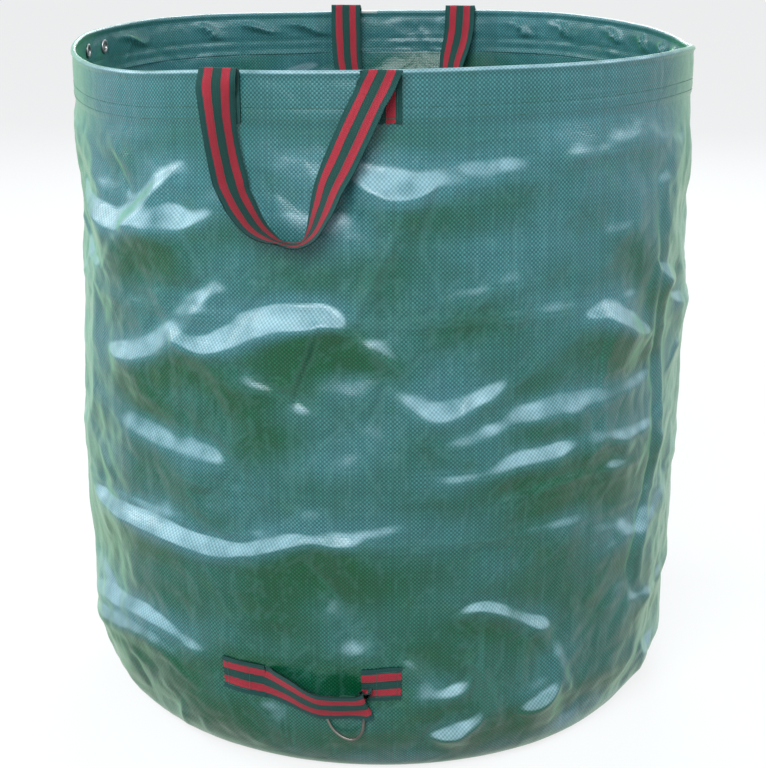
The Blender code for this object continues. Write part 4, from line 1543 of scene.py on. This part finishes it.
@dataclass(frozen=True)
class MouthHoop:
    """The springy hoop inside the hem's sleeve, and the tube that joins its ends."""

    wire_radius: float = 0.00215
    ferrule_radius: float = 0.00285
    ferrule_bearing: float = -177.0
    ferrule_length: float = 0.024
    ferrule_neck: float = 0.0004

    def build(self, cloth: BagCloth, finishes: Finishes) -> None:
        """A closed tube that follows the sleeve, and a short wider one over its joint.

        Args:
            cloth: the bag's cloth.
            finishes: the materials.
        """
        size = cloth.size
        bearing = np.linspace(-180.0, 180.0, 720, endpoint=False)
        height = size.hoop_height + cloth.lift(bearing)
        centres = around(size.rim_radius, bearing, height)
        hoop = tube_mesh("hoop", centres, UP, self.wire_radius, 12, True)
        finish_object(hoop, finishes.coating, "rim", "mouth_hoop")
        half = math.degrees(self.ferrule_length / 2 / size.rim_radius)
        bearing = self.ferrule_bearing + np.linspace(-half, half, 15)
        centres = around(size.rim_radius, bearing, size.hoop_height + cloth.lift(bearing))
        radius = self.ferrule_radius - self.ferrule_neck * (np.abs(np.linspace(-1, 1, 15)) > 0.9)
        tube = tube_mesh("ferrule", centres, UP, radius, 16, False)
        finish_object(tube, finishes.steel, "rim", "hoop_ferrule")


def lathe_mesh(name: str, profile: Sequence[Point], centre: Array, axis: Array,
               segments: int) -> Mesh:
    """Ring with a closed profile of (radius, distance along the axis), turned about the axis.

    Args:
        name: the mesh's name.
        profile: the profile's points.
        centre: the point on the axis that distances count from.
        axis: the axis's direction.
        segments: how many times the profile is repeated round the axis.

    Returns:
        The mesh.
    """
    outline = np.array(profile)
    axis = unit(axis)
    side = unit(np.cross(UP, axis))
    angle = 2 * np.pi * np.arange(segments) / segments
    spoke = side * np.cos(angle)[:, None] + np.cross(axis, side) * np.sin(angle)[:, None]
    points = (centre + outline[:, 0][:, None, None] * spoke[None]
              + outline[:, 1][:, None, None] * axis).reshape(-1, 3)
    mesh = smooth_mesh(name, points, outward_faces(points, ring_faces(len(outline), segments, True)))
    mesh.set_sharp_from_angle(angle=math.radians(50))
    return mesh


@dataclass(frozen=True)
class Eyelets:
    """Two metal eyelets: a flanged barrel set from the inside and rolled over a washer."""

    sites: tuple[Point, ...] = ((-97.2, 0.7375), (-106.0, 0.7375))
    barrel: tuple[Point, ...] = (
        (0.0044, 0.3437), (0.0048, 0.34332), (0.0058, 0.34312), (0.0072, 0.34324), (0.0083, 0.3436),
        (0.0085, 0.34385), (0.0083, 0.34415), (0.0070, 0.34432), (0.0053, 0.34440), (0.0050, 0.3448),
        (0.0050, 0.3489), (0.0053, 0.34895), (0.0058, 0.34905), (0.0060, 0.3494), (0.0057, 0.34975),
        (0.0051, 0.3499), (0.0046, 0.3497), (0.0044, 0.3492))
    washer: tuple[Point, ...] = (
        (0.0053, 0.34805), (0.0083, 0.34798), (0.0085, 0.3482), (0.0083, 0.34848), (0.0068, 0.3488),
        (0.0053, 0.3488))

    def build(self, finish: Material) -> None:
        """Two turned rings at each site, on the axis that points out of the bag.

        Args:
            finish: the material.
        """
        for number, (bearing, height) in enumerate(self.sites, start=1):
            outward = around(1.0, bearing, 0.0)
            for name, profile in (("eyelet", self.barrel), ("eyelet_washer", self.washer)):
                label = f"{name}_{number}"
                mesh = lathe_mesh(label + "_metal", profile, height * UP, outward, 48)
                finish_object(mesh, finish, "rim", label)


@dataclass(frozen=True)
class SeamTapes:
    """Strips inside the bag: the wall's upright seam and the tape round the base seam."""

    width: float = 0.012
    thickness: float = 0.0008
    gap: float = 0.0004
    seam_radius: float = 0.349
    seam_bottom: float = 0.012
    seam_top: float = 0.707
    base_radius: float = 0.2856
    base_girth: float = 1.79
    base_bottom: float = 0.0018
    base_top: float = 0.0132

    def _strip(self, cloth: BagCloth, low: float, high: float, rows: int) -> Surface:
        """Strip of the cloth's inner face at the seam, facing the middle of the bag.

        Args:
            cloth: the bag's cloth.
            low, high: lengths up the cloth between which it runs.
            rows: rows of points along it.

        Returns:
            The strip's surface.
        """
        half = math.degrees(self.width / 2 / self.seam_radius)
        bearing = cloth.size.seam_bearing + np.linspace(-half, half, 9)
        along = np.linspace(low, high, rows)
        off = -(cloth.size.thickness + self.gap + self.thickness)
        points = cloth.shape(bearing[None, :], along[:, None], off)
        normals = -cloth.normal_at(bearing[None, :], along[:, None])
        return Surface(points, normals, pairs(np.linspace(0, self.width, 9), along))

    def build(self, cloth: BagCloth, finish: Material) -> None:
        """The seam below and above the fold line, and the standing tape round the base.

        Args:
            cloth: the bag's cloth.
            finish: the material.
        """
        size = cloth.size
        parts = (("lower", self.seam_bottom, size.standing_height, 70),
                 ("upper", size.standing_height, self.seam_top, 240))
        for word, low, high, rows in parts:
            strip = self._strip(cloth, low, high, rows)
            mesh = sheet_mesh("seam_" + word, strip, self.thickness, False)
            seam = finish_object(mesh, finish, "root", "side_seam_" + word)
        size.fold_down(seam)
        bearing = np.linspace(-180.0, 180.0, 360, endpoint=False)
        height = np.linspace(self.base_bottom, self.base_top, 6)
        wave = 0.0003 * periodic_noise(bearing, bearing * 0, 90, 0.1, 9)
        lean = 0.0008 * (height[:, None] / self.base_top) ** 2
        points = around(self.base_radius + wave[None, :] - lean, bearing[None, :], height[:, None])
        normals = -around(1.0, bearing[None, :], 0.0 * height[:, None])
        place = pairs(np.append(bearing, 180.0) / 360 * self.base_girth, height)
        tape = sheet_mesh("base_tape", Surface(points, normals, place), self.thickness, True)
        finish_object(tape, finish, "root", "base_seam_binding")


@dataclass(frozen=True)
class BasePanel:
    """The round base, its edge turned up into the seam."""

    radius: float = 0.2872
    edge: float = 0.012
    thickness: float = 0.0008
    cells: int = 120

    def build(self, finish: Material) -> None:
        """A square grid drawn out to a disc, whose last rings climb to make the edge.

        Squares round the middle of the grid become circles, and the share of the way out sets the
        radius up to the edge and the height beyond it.

        Args:
            finish: the material.
        """
        line = np.linspace(-1.0, 1.0, self.cells + 1)
        u, v = np.meshgrid(line, line)
        wide = np.abs(u) > np.abs(v)
        far = np.where(wide, u, v)
        near = np.where(wide, v, u)
        ratio = np.divide(near, far, out=np.zeros_like(far), where=np.abs(far) > 1e-9)
        turn = np.where(wide, np.pi / 4 * ratio, np.pi / 2 - np.pi / 4 * ratio)
        x, y = far * np.cos(turn), far * np.sin(turn)
        share = np.abs(far)
        whole = self.radius + self.edge
        travelled = share * whole
        radius = np.minimum(travelled, self.radius - 0.0006)
        height = 0.0011 + np.maximum(travelled - self.radius, 0.0)
        bearing = np.degrees(np.arctan2(x, -y))
        ripple = 0.0012 * (periodic_noise(bearing, travelled, 9, 0.09, 31) + 1.0)
        height += ripple * smoothstep(self.radius - travelled, 0.0, 0.05) * smoothstep(share, 0, 0.2)
        away = np.maximum(np.hypot(x, y), 1e-9)
        points = np.stack([x / away * radius, y / away * radius, height], axis=-1)
        normals = grid_normals(points)
        mesh = sheet_mesh("base", Surface(points, normals, points[..., :2]), self.thickness, False)
        item = finish_object(mesh, finish, "root", "base_panel")


# Handles


@dataclass(frozen=True)
class LocalFrame:
    """Axes of one handle: x to the right along its hinge, out towards the viewer, z up."""

    origin: Array
    turn: float

    @property
    def right(self) -> Array:
        """Direction along the hinge, to the viewer's right."""
        angle = math.radians(self.turn)
        return np.array([math.cos(angle), math.sin(angle), 0.0])

    @property
    def outward(self) -> Array:
        """Level direction away from the bag's axis."""
        return around(1.0, self.turn, 0.0)

    def to_world(self, x: Array | float, out: Array | float, z: Array | float) -> Array:
        """Place local points in the bag's frame."""
        x, out, z = (part[..., None] for part in np.broadcast_arrays(x, out, z))
        return self.origin + x * self.right + out * self.outward + z * UP


@dataclass(frozen=True)
class Station:
    """A place on a strap's middle line, in metres from the hinge, and how its width lies.

    At a roll of 0 the strap's face looks out. At 90 its outer edge points out and its face up. The
    lean tilts the width of a level strap to the right, as where the strap is folded on the slant.
    """

    x: float
    z: float
    out: float
    roll: float
    lean: float = 0.0


def strap_path(*rows: tuple[float, ...]) -> tuple[Station, ...]:
    """Stations from rows of x, z, out, roll and, where it isn't 0, lean."""
    return tuple(Station(*row) for row in rows)


@dataclass
class Ribbon:
    """A strap's middle line with its width and face directions, row by row."""

    middle: Array
    across: Array
    face: Array
    length: Array

    def part(self, start: int, stop: int) -> "Ribbon":
        """The rows from start up to and with stop."""
        rows = slice(start, stop + 1)
        return Ribbon(self.middle[rows], self.across[rows], self.face[rows], self.length[rows])


@dataclass(frozen=True)
class Webbing:
    """Striped webbing and the ways it is laid."""

    width: float = STRAP
    thickness: float = 0.0015
    columns: int = 16
    stitch: tuple[float, float, float] = (0.0026, 0.0008, 0.0006)

    def lay(self, local: LocalFrame, stations: Sequence[Station], rows: int, fold: float = 0.0,
            level: bool = False) -> Ribbon:
        """Lay a strap through its stations.

        The middle line is a smooth curve. The width turns from lying in the plane of the loop to
        pointing out of it by the roll. Where the strap is folded at the hinge, half a circle of the
        fold's radius leads into each end, and the width stays level just below it.

        Args:
            local: the handle's own axes.
            stations: the places that the strap passes through, from left to right.
            rows: rows of points along the strap.
            fold: radius of the half turn over the hinge at both ends, or 0 for none.
            level: whether the strap runs from side to side, so that its width starts from upright.

        Returns:
            The strap's rows.
        """
        table = np.array([(s.x, s.out, s.z, s.roll, s.lean) for s in stations])
        line = smooth_line(table, rows)
        middle, roll, lean = line[:, :3], np.radians(line[:, 3]), np.radians(line[:, 4])
        if fold:
            angle = np.linspace(np.pi, 0.0, 9)[:-1]
            left = np.stack([np.full(8, middle[0, 0]), fold * np.cos(angle), fold * np.sin(angle)], 1)
            right = left.copy()
            right[:, 0] = middle[-1, 0]
            middle = np.vstack([left + UP * middle[0, 2], middle, right[::-1] + UP * middle[-1, 2]])
            roll = np.concatenate([np.full(8, roll[0]), roll, np.full(8, roll[-1])])
        length = length_along(middle)
        way = unit(np.gradient(middle, axis=0))
        if level:
            inner = np.stack([-np.sin(lean), 0.0 * lean, np.cos(lean)], axis=1)
        else:
            inner = unit(np.stack([-way[:, 2], np.zeros(len(way)), way[:, 0]], axis=1))
        out = np.array([0.0, 1.0, 0.0])
        across = -inner * np.cos(roll)[:, None] + out * np.sin(roll)[:, None]
        across = unit(across - np.sum(across * way, axis=1, keepdims=True) * way)
        if fold:
            near = 1.0 - smoothstep(length, 0.006, 0.034)[:, None]
            far = 1.0 - smoothstep(length[-1] - length, 0.006, 0.034)[:, None]
            across = unit(across * (1 - near - far) + near * np.array([-1.0, 0.0, 0.0])
                          + far * np.array([1.0, 0.0, 0.0]))
        world_across = local.to_world(*across.T) - local.origin
        world_way = local.to_world(*way.T) - local.origin
        return Ribbon(local.to_world(*middle.T), world_across, unit(np.cross(world_across, world_way)),
                      length)

    def mesh(self, name: str, ribbon: Ribbon) -> Mesh:
        """Closed mesh of a ribbon, a little wavy across as slack webbing is.

        Args:
            name: the mesh's name.
            ribbon: the strap's rows.

        Returns:
            The mesh.
        """
        share = np.linspace(-0.5, 0.5, self.columns + 1)
        wave = 0.0003 * np.sin(share * 9.0) * np.sin(ribbon.length * 150.0)[:, None]
        points = (ribbon.middle[:, None] + ribbon.across[:, None] * (share * self.width)[None, :, None]
                  + ribbon.face[:, None] * (self.thickness / 2 + wave)[..., None])
        place = pairs((share + 0.5) * self.width, ribbon.length)
        normals = grid_normals(points)
        flip = np.sign(np.sum(normals * ribbon.face[:, None], axis=-1, keepdims=True))
        return sheet_mesh(name, Surface(points, normals * flip, place), self.thickness, False)

    def plate(self, name: str, points: Array, ragged: float, seed: int) -> Mesh:
        """Closed mesh of a sewn end from the points of its outer face, rows from the bottom up.

        The bottom edge is frayed: each column ends at its own height.

        Args:
            name: the mesh's name.
            points: the outer face.
            ragged: how far the edge runs in and out.
            seed: seed of the frayed edge.

        Returns:
            The mesh.
        """
        columns = points.shape[1]
        random = np.random.default_rng(seed)
        points = points.copy()
        points[0] += random.uniform(-ragged, ragged, (columns, 1)) * unit(points[1] - points[0])
        normals = grid_normals(points)
        place = pairs(np.linspace(0.0, self.width, columns), length_along(points[:, columns // 2]))
        return sheet_mesh(name, Surface(points, normals, place), self.thickness, False)

    def stitch_box(self, name: str, points: Array) -> Mesh:
        """Stitches round a rectangle on a sewn end, which stand on the points of its face.

        Args:
            name: the mesh's name.
            points: the end's outer face.

        Returns:
            The mesh.
        """
        rows, columns = points.shape[:2]
        corners = np.array([(0.10, 0.12), (0.10, 0.88), (0.62, 0.88), (0.62, 0.12), (0.10, 0.12)])
        path = np.vstack([np.linspace(a, b, 12, endpoint=False) for a, b in zip(corners, corners[1:])])
        row = np.clip(path[:, 0] * (rows - 1), 0, rows - 1.001)
        column = np.clip(path[:, 1] * (columns - 1), 0, columns - 1.001)
        y, x = (row % 1.0)[:, None], (column % 1.0)[:, None]
        low, left = row.astype(int), column.astype(int)
        centres = blend_corners(points, low, left, x, y)
        corner = points[low, left]
        normals = unit(np.cross(points[low, left + 1] - corner, points[low + 1, left] - corner))
        along = unit(np.roll(centres, -1, axis=0) - centres)
        axes = np.stack([along, np.cross(normals, along), normals], axis=1)
        shape, faces = stitch_shape(*self.stitch)
        return scattered_mesh(name, centres + normals * 0.0001, axes, shape, faces)

    def sewn_end(self, handle: str, word: str, points: Array, finishes: Finishes, body: str,
                 ragged: float, seed: int) -> None:
        """Make one sewn end of a handle and its stitches.

        Args:
            handle: start of the names of the handle's pieces.
            word: which end it is, left or right.
            points: the outer face of the end, rows from the frayed edge.
            finishes: the bag's materials.
            body: the body that the end rides on.
            ragged: how far the frayed edge runs in and out.
            seed: seed of the frayed edge.
        """
        mesh = self.plate(f"{handle}_sewn_{word}", points, ragged, seed)
        finish_object(mesh, finishes.webbing, body, f"{handle}_end_{word}")
        mesh = self.stitch_box(f"{handle}_box_{word}", points)
        finish_object(mesh, finishes.thread, body, f"{handle}_stitch_{word}")


@dataclass(frozen=True)
class UpperHandle:
    """A handle at the mouth: two sewn ends on the hem and the strap that hangs from them."""

    side: str
    turn: float
    spacing: float
    axis_depth: float
    axis_height: float
    stations: tuple[Station, ...]
    over_rim: bool
    sag: Point = (0.0, 0.0)
    fold: float = 0.00155

    @property
    def local(self) -> LocalFrame:
        """The handle's own axes, at the middle of its hinge."""
        depth = -self.axis_depth if self.over_rim else self.axis_depth
        return LocalFrame(around(depth, self.turn, self.axis_height), self.turn)

    def _end_points(self, cloth: BagCloth, sign: int, webbing: Webbing) -> Array:
        """Outer face of one sewn end: flat on the hem, then up to the hinge or over the rim.

        Args:
            cloth: the bag's cloth.
            sign: -1 for the left end and 1 for the right.
            webbing: the strap's sizes.

        Returns:
            Rows of points from the frayed edge up.
        """
        x = sign * self.spacing / 2 + np.linspace(-0.5, 0.5, 25) * webbing.width
        radius = cloth.size.leaf_outer
        middle = (180.0 if self.over_rim else 0.0) + self.turn
        bearing = middle + np.degrees(np.arcsin(x / radius)) * (-1 if self.over_rim else 1)
        off = 0.0004 + webbing.thickness
        top = float(cloth.along_of_height(np.array(0.749)))
        along = np.linspace(cloth.size.hem_bottom - 0.001, top, 26)
        flat = cloth.shape(bearing[None, :], along[:, None], off)
        drop = self.sag[0] if sign < 0 else self.sag[1]
        if not self.over_rim:
            bulge = cloth.shape(bearing[None, :], np.array([[top + 0.006]]), off + 0.0004)
            hinge_face = self.local.to_world(x, webbing.thickness / 2 - self.fold, -drop - 0.0002)
            rise = np.linspace(0.0, 1.0, 7)[1:, None, None]
            upper = bulge[0][None] * (1 - rise) + hinge_face[None] * rise
            return np.concatenate([flat, bulge, upper])
        crest = np.linspace(top + 0.003, cloth.crown - 0.0015, 6)
        rolled = cloth.shape(bearing[None, :], crest[:, None], off)
        over = self.local.to_world(x, -self.fold, webbing.thickness / 2 - drop)
        rise = np.linspace(0.0, 1.0, 6)[1:, None, None]
        upper = rolled[-1][None] * (1 - rise) + over[None] * rise
        return np.concatenate([flat, rolled, upper])

    def build(self, cloth: BagCloth, webbing: Webbing, finishes: Finishes) -> None:
        """Sewn ends and their stitches ride on the rim, and the strap on its own body.

        Args:
            cloth: the bag's cloth.
            webbing: how webbing is made.
            finishes: the materials.
        """
        name = self.side + "_handle"
        for sign, word in ((-1, "left"), (1, "right")):
            webbing.sewn_end(name, word, self._end_points(cloth, sign, webbing), finishes, "rim",
                             0.0014, 7 + sign)
        mesh = webbing.mesh(f"{name}_loop", webbing.lay(self.local, self.stations, 150, self.fold))
        finish_object(mesh, finishes.webbing, name, f"{name}_strap")


FRONT_HANDLE = UpperHandle(
    side="front", turn=-13.3, spacing=0.157, axis_depth=0.34847, axis_height=0.7629,
    over_rim=False, sag=(0.0060, 0.0036),
    stations=strap_path(
        (-0.0800, -0.0060, 0.0018, 0), (-0.0800, -0.0210, 0.0085, 30), (-0.0775, -0.0450, 0.0130, 46),
        (-0.0735, -0.0720, 0.0150, 50), (-0.0690, -0.0950, 0.0156, 50), (-0.0650, -0.1105, 0.0158, 47),
        (-0.0610, -0.1210, 0.0175, 58), (-0.0535, -0.1350, 0.0185, 62), (-0.0425, -0.1505, 0.0200, 72),
        (-0.0305, -0.1605, 0.0210, 85), (-0.0150, -0.1672, 0.0215, 98), (0.0040, -0.1680, 0.0215, 88),
        (0.0165, -0.1560, 0.0195, 62), (0.0250, -0.1350, 0.0165, 44), (0.0335, -0.1100, 0.0135, 31),
        (0.0455, -0.0840, 0.0110, 22), (0.0605, -0.0510, 0.0085, 18), (0.0745, -0.0210, 0.0055, 20),
        (0.0822, -0.0038, 0.0016, 0)))

BACK_HANDLE = UpperHandle(
    side="back", turn=-4.6, spacing=0.150, axis_depth=0.32580, axis_height=0.766,
    over_rim=True,
    stations=strap_path(
        (-0.0750, 0.0, 0.0016, 0), (-0.0745, -0.035, 0.0060, 12), (-0.0715, -0.076, 0.0100, 30),
        (-0.0600, -0.115, 0.0140, 48), (-0.0370, -0.150, 0.0190, 76), (0.0, -0.167, 0.0210, 98),
        (0.0370, -0.150, 0.0190, 76), (0.0590, -0.110, 0.0140, 48), (0.0650, -0.070, 0.0100, 34),
        (0.0730, -0.035, 0.0060, 12), (0.0750, 0.0, 0.0016, 0)))


@dataclass(frozen=True)
class LowerHandle:
    """The slack handle low on the front wall, sewn at both ends."""

    turn: float = -12.7
    height: float = 0.125
    depth: float = 0.3425
    wall_radius: float = 0.343
    join_x: float = 0.008
    ends: tuple[tuple[str, Point, Point], ...] = (
        ("left", (-0.0985, -0.0078), (-0.0540, -0.0150)),
        ("right", (0.0940, -0.0035), (0.0530, -0.0065)))
    stations: tuple[Station, ...] = strap_path(
        (-0.0550, -0.0150, 0.0012, 0, 10), (-0.0470, -0.0166, 0.0026, -4, 10),
        (-0.0340, -0.0186, 0.0066, -12, 6), (-0.0200, -0.0216, 0.0104, -18, 2),
        (-0.0080, -0.0256, 0.0128, -22), (0.0080, -0.0288, 0.0145, -26),
        (0.0240, -0.0294, 0.0150, -28), (0.0380, -0.0290, 0.0144, -30, 4),
        (0.0490, -0.0288, 0.0128, -31, 14), (0.0560, -0.0284, 0.0102, -30, 20),
        (0.0584, -0.0276, 0.0072, -26, 22), (0.0560, -0.0262, 0.0046, -14, 14),
        (0.0530, -0.0240, 0.0038, -5, 8), (0.0505, -0.0215, 0.0030, 0, 2))

    def _end_points(self, cloth: BagCloth, outer: Point, inner: Point, webbing: Webbing) -> Array:
        """Outer face of a sewn end on the wall, from its outer to its inner edge.

        Args:
            cloth: the bag's cloth.
            outer, inner: the ends of its middle line, as x and height.
            webbing: the strap's sizes.

        Returns:
            Rows of points from the outer edge.
        """
        x = np.linspace(outer[0], inner[0], 30)
        middle = np.linspace(outer[1], inner[1], 30)
        side = 1.0 if outer[0] < 0 else -1.0
        rise = side * np.linspace(0.5, -0.5, 25) * webbing.width
        bearing = self.turn + np.degrees(np.arcsin(x / self.wall_radius))
        along = cloth.along_of_height(self.height + middle[:, None] + rise[None, :])
        return cloth.shape(bearing[:, None], along, 0.0003 + webbing.thickness)

    def build(self, cloth: BagCloth, webbing: Webbing, finishes: Finishes) -> None:
        """Sewn ends on the wall, and a strap in two halves, cut where it passes join_x.

        Args:
            cloth: the bag's cloth.
            webbing: how webbing is made.
            finishes: the materials.
        """
        local = LocalFrame(around(self.depth, self.turn, self.height), self.turn)
        for word, outer, inner in self.ends:
            webbing.sewn_end("lower_handle", word, self._end_points(cloth, outer, inner, webbing),
                             finishes, "root", 0.0012, 21)
        x, z = np.array([(s.x, s.z) for s in self.stations]).T
        bearing = self.turn + np.degrees(np.arcsin(x / self.wall_radius))
        wall = cloth.shape(bearing, cloth.along_of_height(self.height + z)) - local.origin
        depth = wall @ local.outward
        line = tuple(Station(s.x, s.z, s.out + away, s.roll, s.lean)
                     for s, away in zip(self.stations, depth))
        ribbon = webbing.lay(local, line, 140, level=True)
        sideways = (ribbon.middle - local.origin) @ local.right
        cut = int(np.argmax(sideways > self.join_x))
        halves = (("left", ribbon.part(0, cut), -0.056, -0.030),
                  ("right", ribbon.part(cut, len(sideways) - 1), 0.064, 0.036))
        for word, half, start, end in halves:
            mesh = webbing.mesh(f"lower_handle_loop_{word}", half)
            item = link_object(mesh, finishes.webbing)
            ends = [tuple(local.to_world(x, 0.0, 0.0)) for x in (start, end)]
            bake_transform(item)
            if word == "left":
                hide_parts("lower_handle_strap")


@dataclass(frozen=True)
class HangingRing:
    """The thin wire ring under the lower handle, and the tab it hangs from."""

    turn: float = -12.7
    height: float = 0.088
    wall_radius: float = 0.343
    wire: float = 0.0015
    tab_x: float = 0.037
    tab_width: float = 0.016
    tab_length: float = 0.03
    tab_thickness: float = 0.0008
    outline: tuple[tuple[float, float, float], ...] = (
        (0.0155, 0.0000, 0.0024), (0.0145, -0.0080, 0.0030), (0.0170, -0.0160, 0.0036),
        (0.0228, -0.0245, 0.0044), (0.0320, -0.0310, 0.0050), (0.0415, -0.0332, 0.0052),
        (0.0495, -0.0295, 0.0048), (0.0540, -0.0205, 0.0040), (0.0550, -0.0090, 0.0032),
        (0.0545, 0.0000, 0.0024), (0.0470, 0.0004, 0.0022), (0.0350, 0.0004, 0.0022),
        (0.0240, 0.0004, 0.0022), (0.0155, 0.0000, 0.0024))
    tab_path: tuple[Point, ...] = (
        (0.0045, 0.016), (0.0042, 0.008), (0.0044, 0.003), (0.0036, -0.0022), (0.0018, -0.0034),
        (0.0000, -0.0022), (-0.0006, 0.003), (-0.0002, 0.008), (0.0004, 0.016))

    def build(self, cloth: BagCloth, finishes: Finishes) -> None:
        """A closed wire on the ring's body, through a folded tab on the wall.

        Args:
            cloth: the bag's cloth.
            finishes: the materials.
        """
        x, up, out = np.array(self.outline).T
        hung = cloth.shape(self.turn + math.degrees(self.tab_x / self.wall_radius),
                           cloth.along_of_height(np.array(self.height)))
        depth = float(hung @ around(1.0, self.turn, 0.0))
        local = LocalFrame(around(depth, self.turn, self.height), self.turn)
        centres = smooth_line(local.to_world(x, out, up), 97)[:-1]
        mesh = tube_mesh("wire_ring", centres, local.outward, self.wire, 12, True)
        finish_object(mesh, finishes.ring, "ring", "hanging_ring")
        span = np.linspace(-0.5, 0.5, 9) * self.tab_width + self.tab_x
        line = smooth_line(self.tab_path, 40)
        points = local.to_world(span[None, :], line[:, :1], line[:, 1:2])
        normals = -grid_normals(points)
        place = pairs(np.linspace(0, self.tab_width, 9), np.linspace(0, self.tab_length, 40))
        tab = sheet_mesh("tab", Surface(points, normals, place), self.tab_thickness, False)
        finish_object(tab, finishes.tape, "root", "ring_tab")


# Studio


@dataclass(frozen=True)
class Studio:
    """Plain pale floor, soft lights round the bag, and the camera.

    Each lamp has its bearing and its power in watts.
    """

    camera_place: tuple[float, float, float] = (0.0, -2.0, 0.9457)
    pitch: float = 16.66
    lens: float = 81.48
    floor_half: float = 30.0
    floor_height: float = -0.0006
    floor_tone: Colour = (0.42, 0.42, 0.42, 1.0)
    floor_seen: Colour = (0.94, 0.94, 0.94, 1.0)
    white: Colour = (1.0, 1.0, 1.0, 1.0)
    sky_colour: Colour = (0.80, 0.92, 1.0, 1.0)
    lamp_colour: tuple[float, float, float] = (0.88, 0.95, 1.0)
    sky: float = 0.34
    glow: float = 0.78
    lamp_distance: float = 3.3
    lamp_height: float = 2.2
    lamp_aim: tuple[float, float, float] = (0.0, 0.0, 0.35)
    lamp_size: tuple[float, float] = (1.8, 1.6)
    lamps: tuple[tuple[float, float], ...] = ((-14, 135.0), (-100, 85.0), (86, 70.0), (175, 60.0))

    def _pale(self, name: str) -> Material:
        """Pale matt floor, lifted to white where it is seen, so that only the shadow shows.

        Args:
            name: its name.

        Returns:
            The material.
        """
        material, graph, shader = new_material(name)
        tone = graph.mix(self._seen(graph), self.floor_tone, self.floor_seen)
        graph.fill(shader, {"Base Color": tone, "Roughness": 0.95, "Specular IOR Level": 0.0})
        white = graph.node("ShaderNodeEmission", {"Color": self.white, "Strength": 1.0})
        seen = graph.times(self._seen(graph), self.glow)
        mixed = graph.node("ShaderNodeMixShader", {0: seen, 1: shader.outputs[0], 2: white.outputs[0]})
        end = next(node for node in graph.tree.nodes if node.type == "OUTPUT_MATERIAL")
        graph.tree.links.new(mixed.outputs[0], end.inputs[0])
        return material

    def _seen(self, graph: Graph) -> Socket:
        """1 where the camera, a reflection or a see-through surface looks at the backdrop.

        Args:
            graph: the material's graph.

        Returns:
            The mask.
        """
        path = graph.node("ShaderNodeLightPath")
        looks = [path.outputs[f"Is {kind} Ray"] for kind in ("Camera", "Glossy", "Transmission")]
        return graph.math("MAXIMUM", graph.math("MAXIMUM", looks[0], looks[1]), looks[2])

    def _sky(self) -> bpy.types.World:
        """Even pale blue sky, which the camera and shiny surfaces see as white.

        Returns:
            The world.
        """
        world = bpy.data.worlds.new("sky")
        world.use_nodes = True
        graph = Graph(world.node_tree)
        world.node_tree.nodes.clear()
        light = graph.node("ShaderNodeBackground", {"Color": self.sky_colour, "Strength": self.sky})
        white = graph.node("ShaderNodeBackground", {"Color": self.white, "Strength": 1.0})
        shown = graph.node("ShaderNodeMixShader", {0: self._seen(graph), 1: light.outputs[0],
                                                   2: white.outputs[0]})
        graph.node("ShaderNodeOutputWorld", {0: shown.outputs[0]})
        return world

    def build(self) -> None:
        """Set up the floor, the ring of lamps, the sky and the camera."""
        floor = bpy.data.meshes.new("floor")
        corners = ((-1, -1), (1, -1), (1, 1), (-1, 1))
        floor.from_pydata([(x * self.floor_half, y * self.floor_half, self.floor_height)
                           for x, y in corners], [], [(0, 1, 2, 3)])
        item = bpy.data.objects.new("floor", floor)
        bpy.context.scene.collection.objects.link(item)
        floor.materials.append(self._pale("Pale floor"))
        bpy.context.scene.world = self._sky()
        for number, (bearing, power) in enumerate(self.lamps):
            light = bpy.data.lights.new(f"soft_light_{number}", "AREA")
            light.shape, light.size, light.size_y = "RECTANGLE", *self.lamp_size
            light.energy, light.color = power, self.lamp_colour
            lamp = bpy.data.objects.new(light.name, light)
            place = Vector(around(self.lamp_distance, bearing, self.lamp_height))
            lamp.location = place
            lamp.rotation_euler = (Vector(self.lamp_aim) - place).to_track_quat("-Z", "Y").to_euler()
            bpy.context.scene.collection.objects.link(lamp)
        data = bpy.data.cameras.new("camera")
        data.lens, data.sensor_width = self.lens, 36.0
        camera = bpy.data.objects.new("camera", data)
        camera.location = self.camera_place
        camera.rotation_euler = (math.radians(90.0 - self.pitch), 0.0, 0.0)
        bpy.context.scene.collection.objects.link(camera)
        bpy.context.scene.camera = camera
        bpy.context.scene.view_settings.view_transform = "Standard"


def main() -> None:
    """Build the bag piece by piece and set up the studio."""
    logging.basicConfig(level=logging.INFO, format="%(message)s")
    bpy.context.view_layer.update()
    finishes = Finishes.make()
    eyelets = Eyelets()
    cloth = BagCloth(BagSize())
    cloth.build(finishes.cloth, eyelets.sites)
    LOG.info("wall and hem made")
    HemStitching().build(cloth, finishes.thread)
    MouthHoop().build(cloth, finishes)
    eyelets.build(finishes.eyelet)
    LOG.info("stitches, hoop and eyelets made")
    SeamTapes().build(cloth, finishes.tape)
    BasePanel().build(finishes.cloth)
    LOG.info("base and seam tapes made")
    webbing = Webbing()
    FRONT_HANDLE.build(cloth, webbing, finishes)
    BACK_HANDLE.build(cloth, webbing, finishes)
    LowerHandle().build(cloth, webbing, finishes)
    HangingRing().build(cloth, finishes)
    LOG.info("handles and ring made")
    Studio().build()


if __name__ == "__main__":
    main()
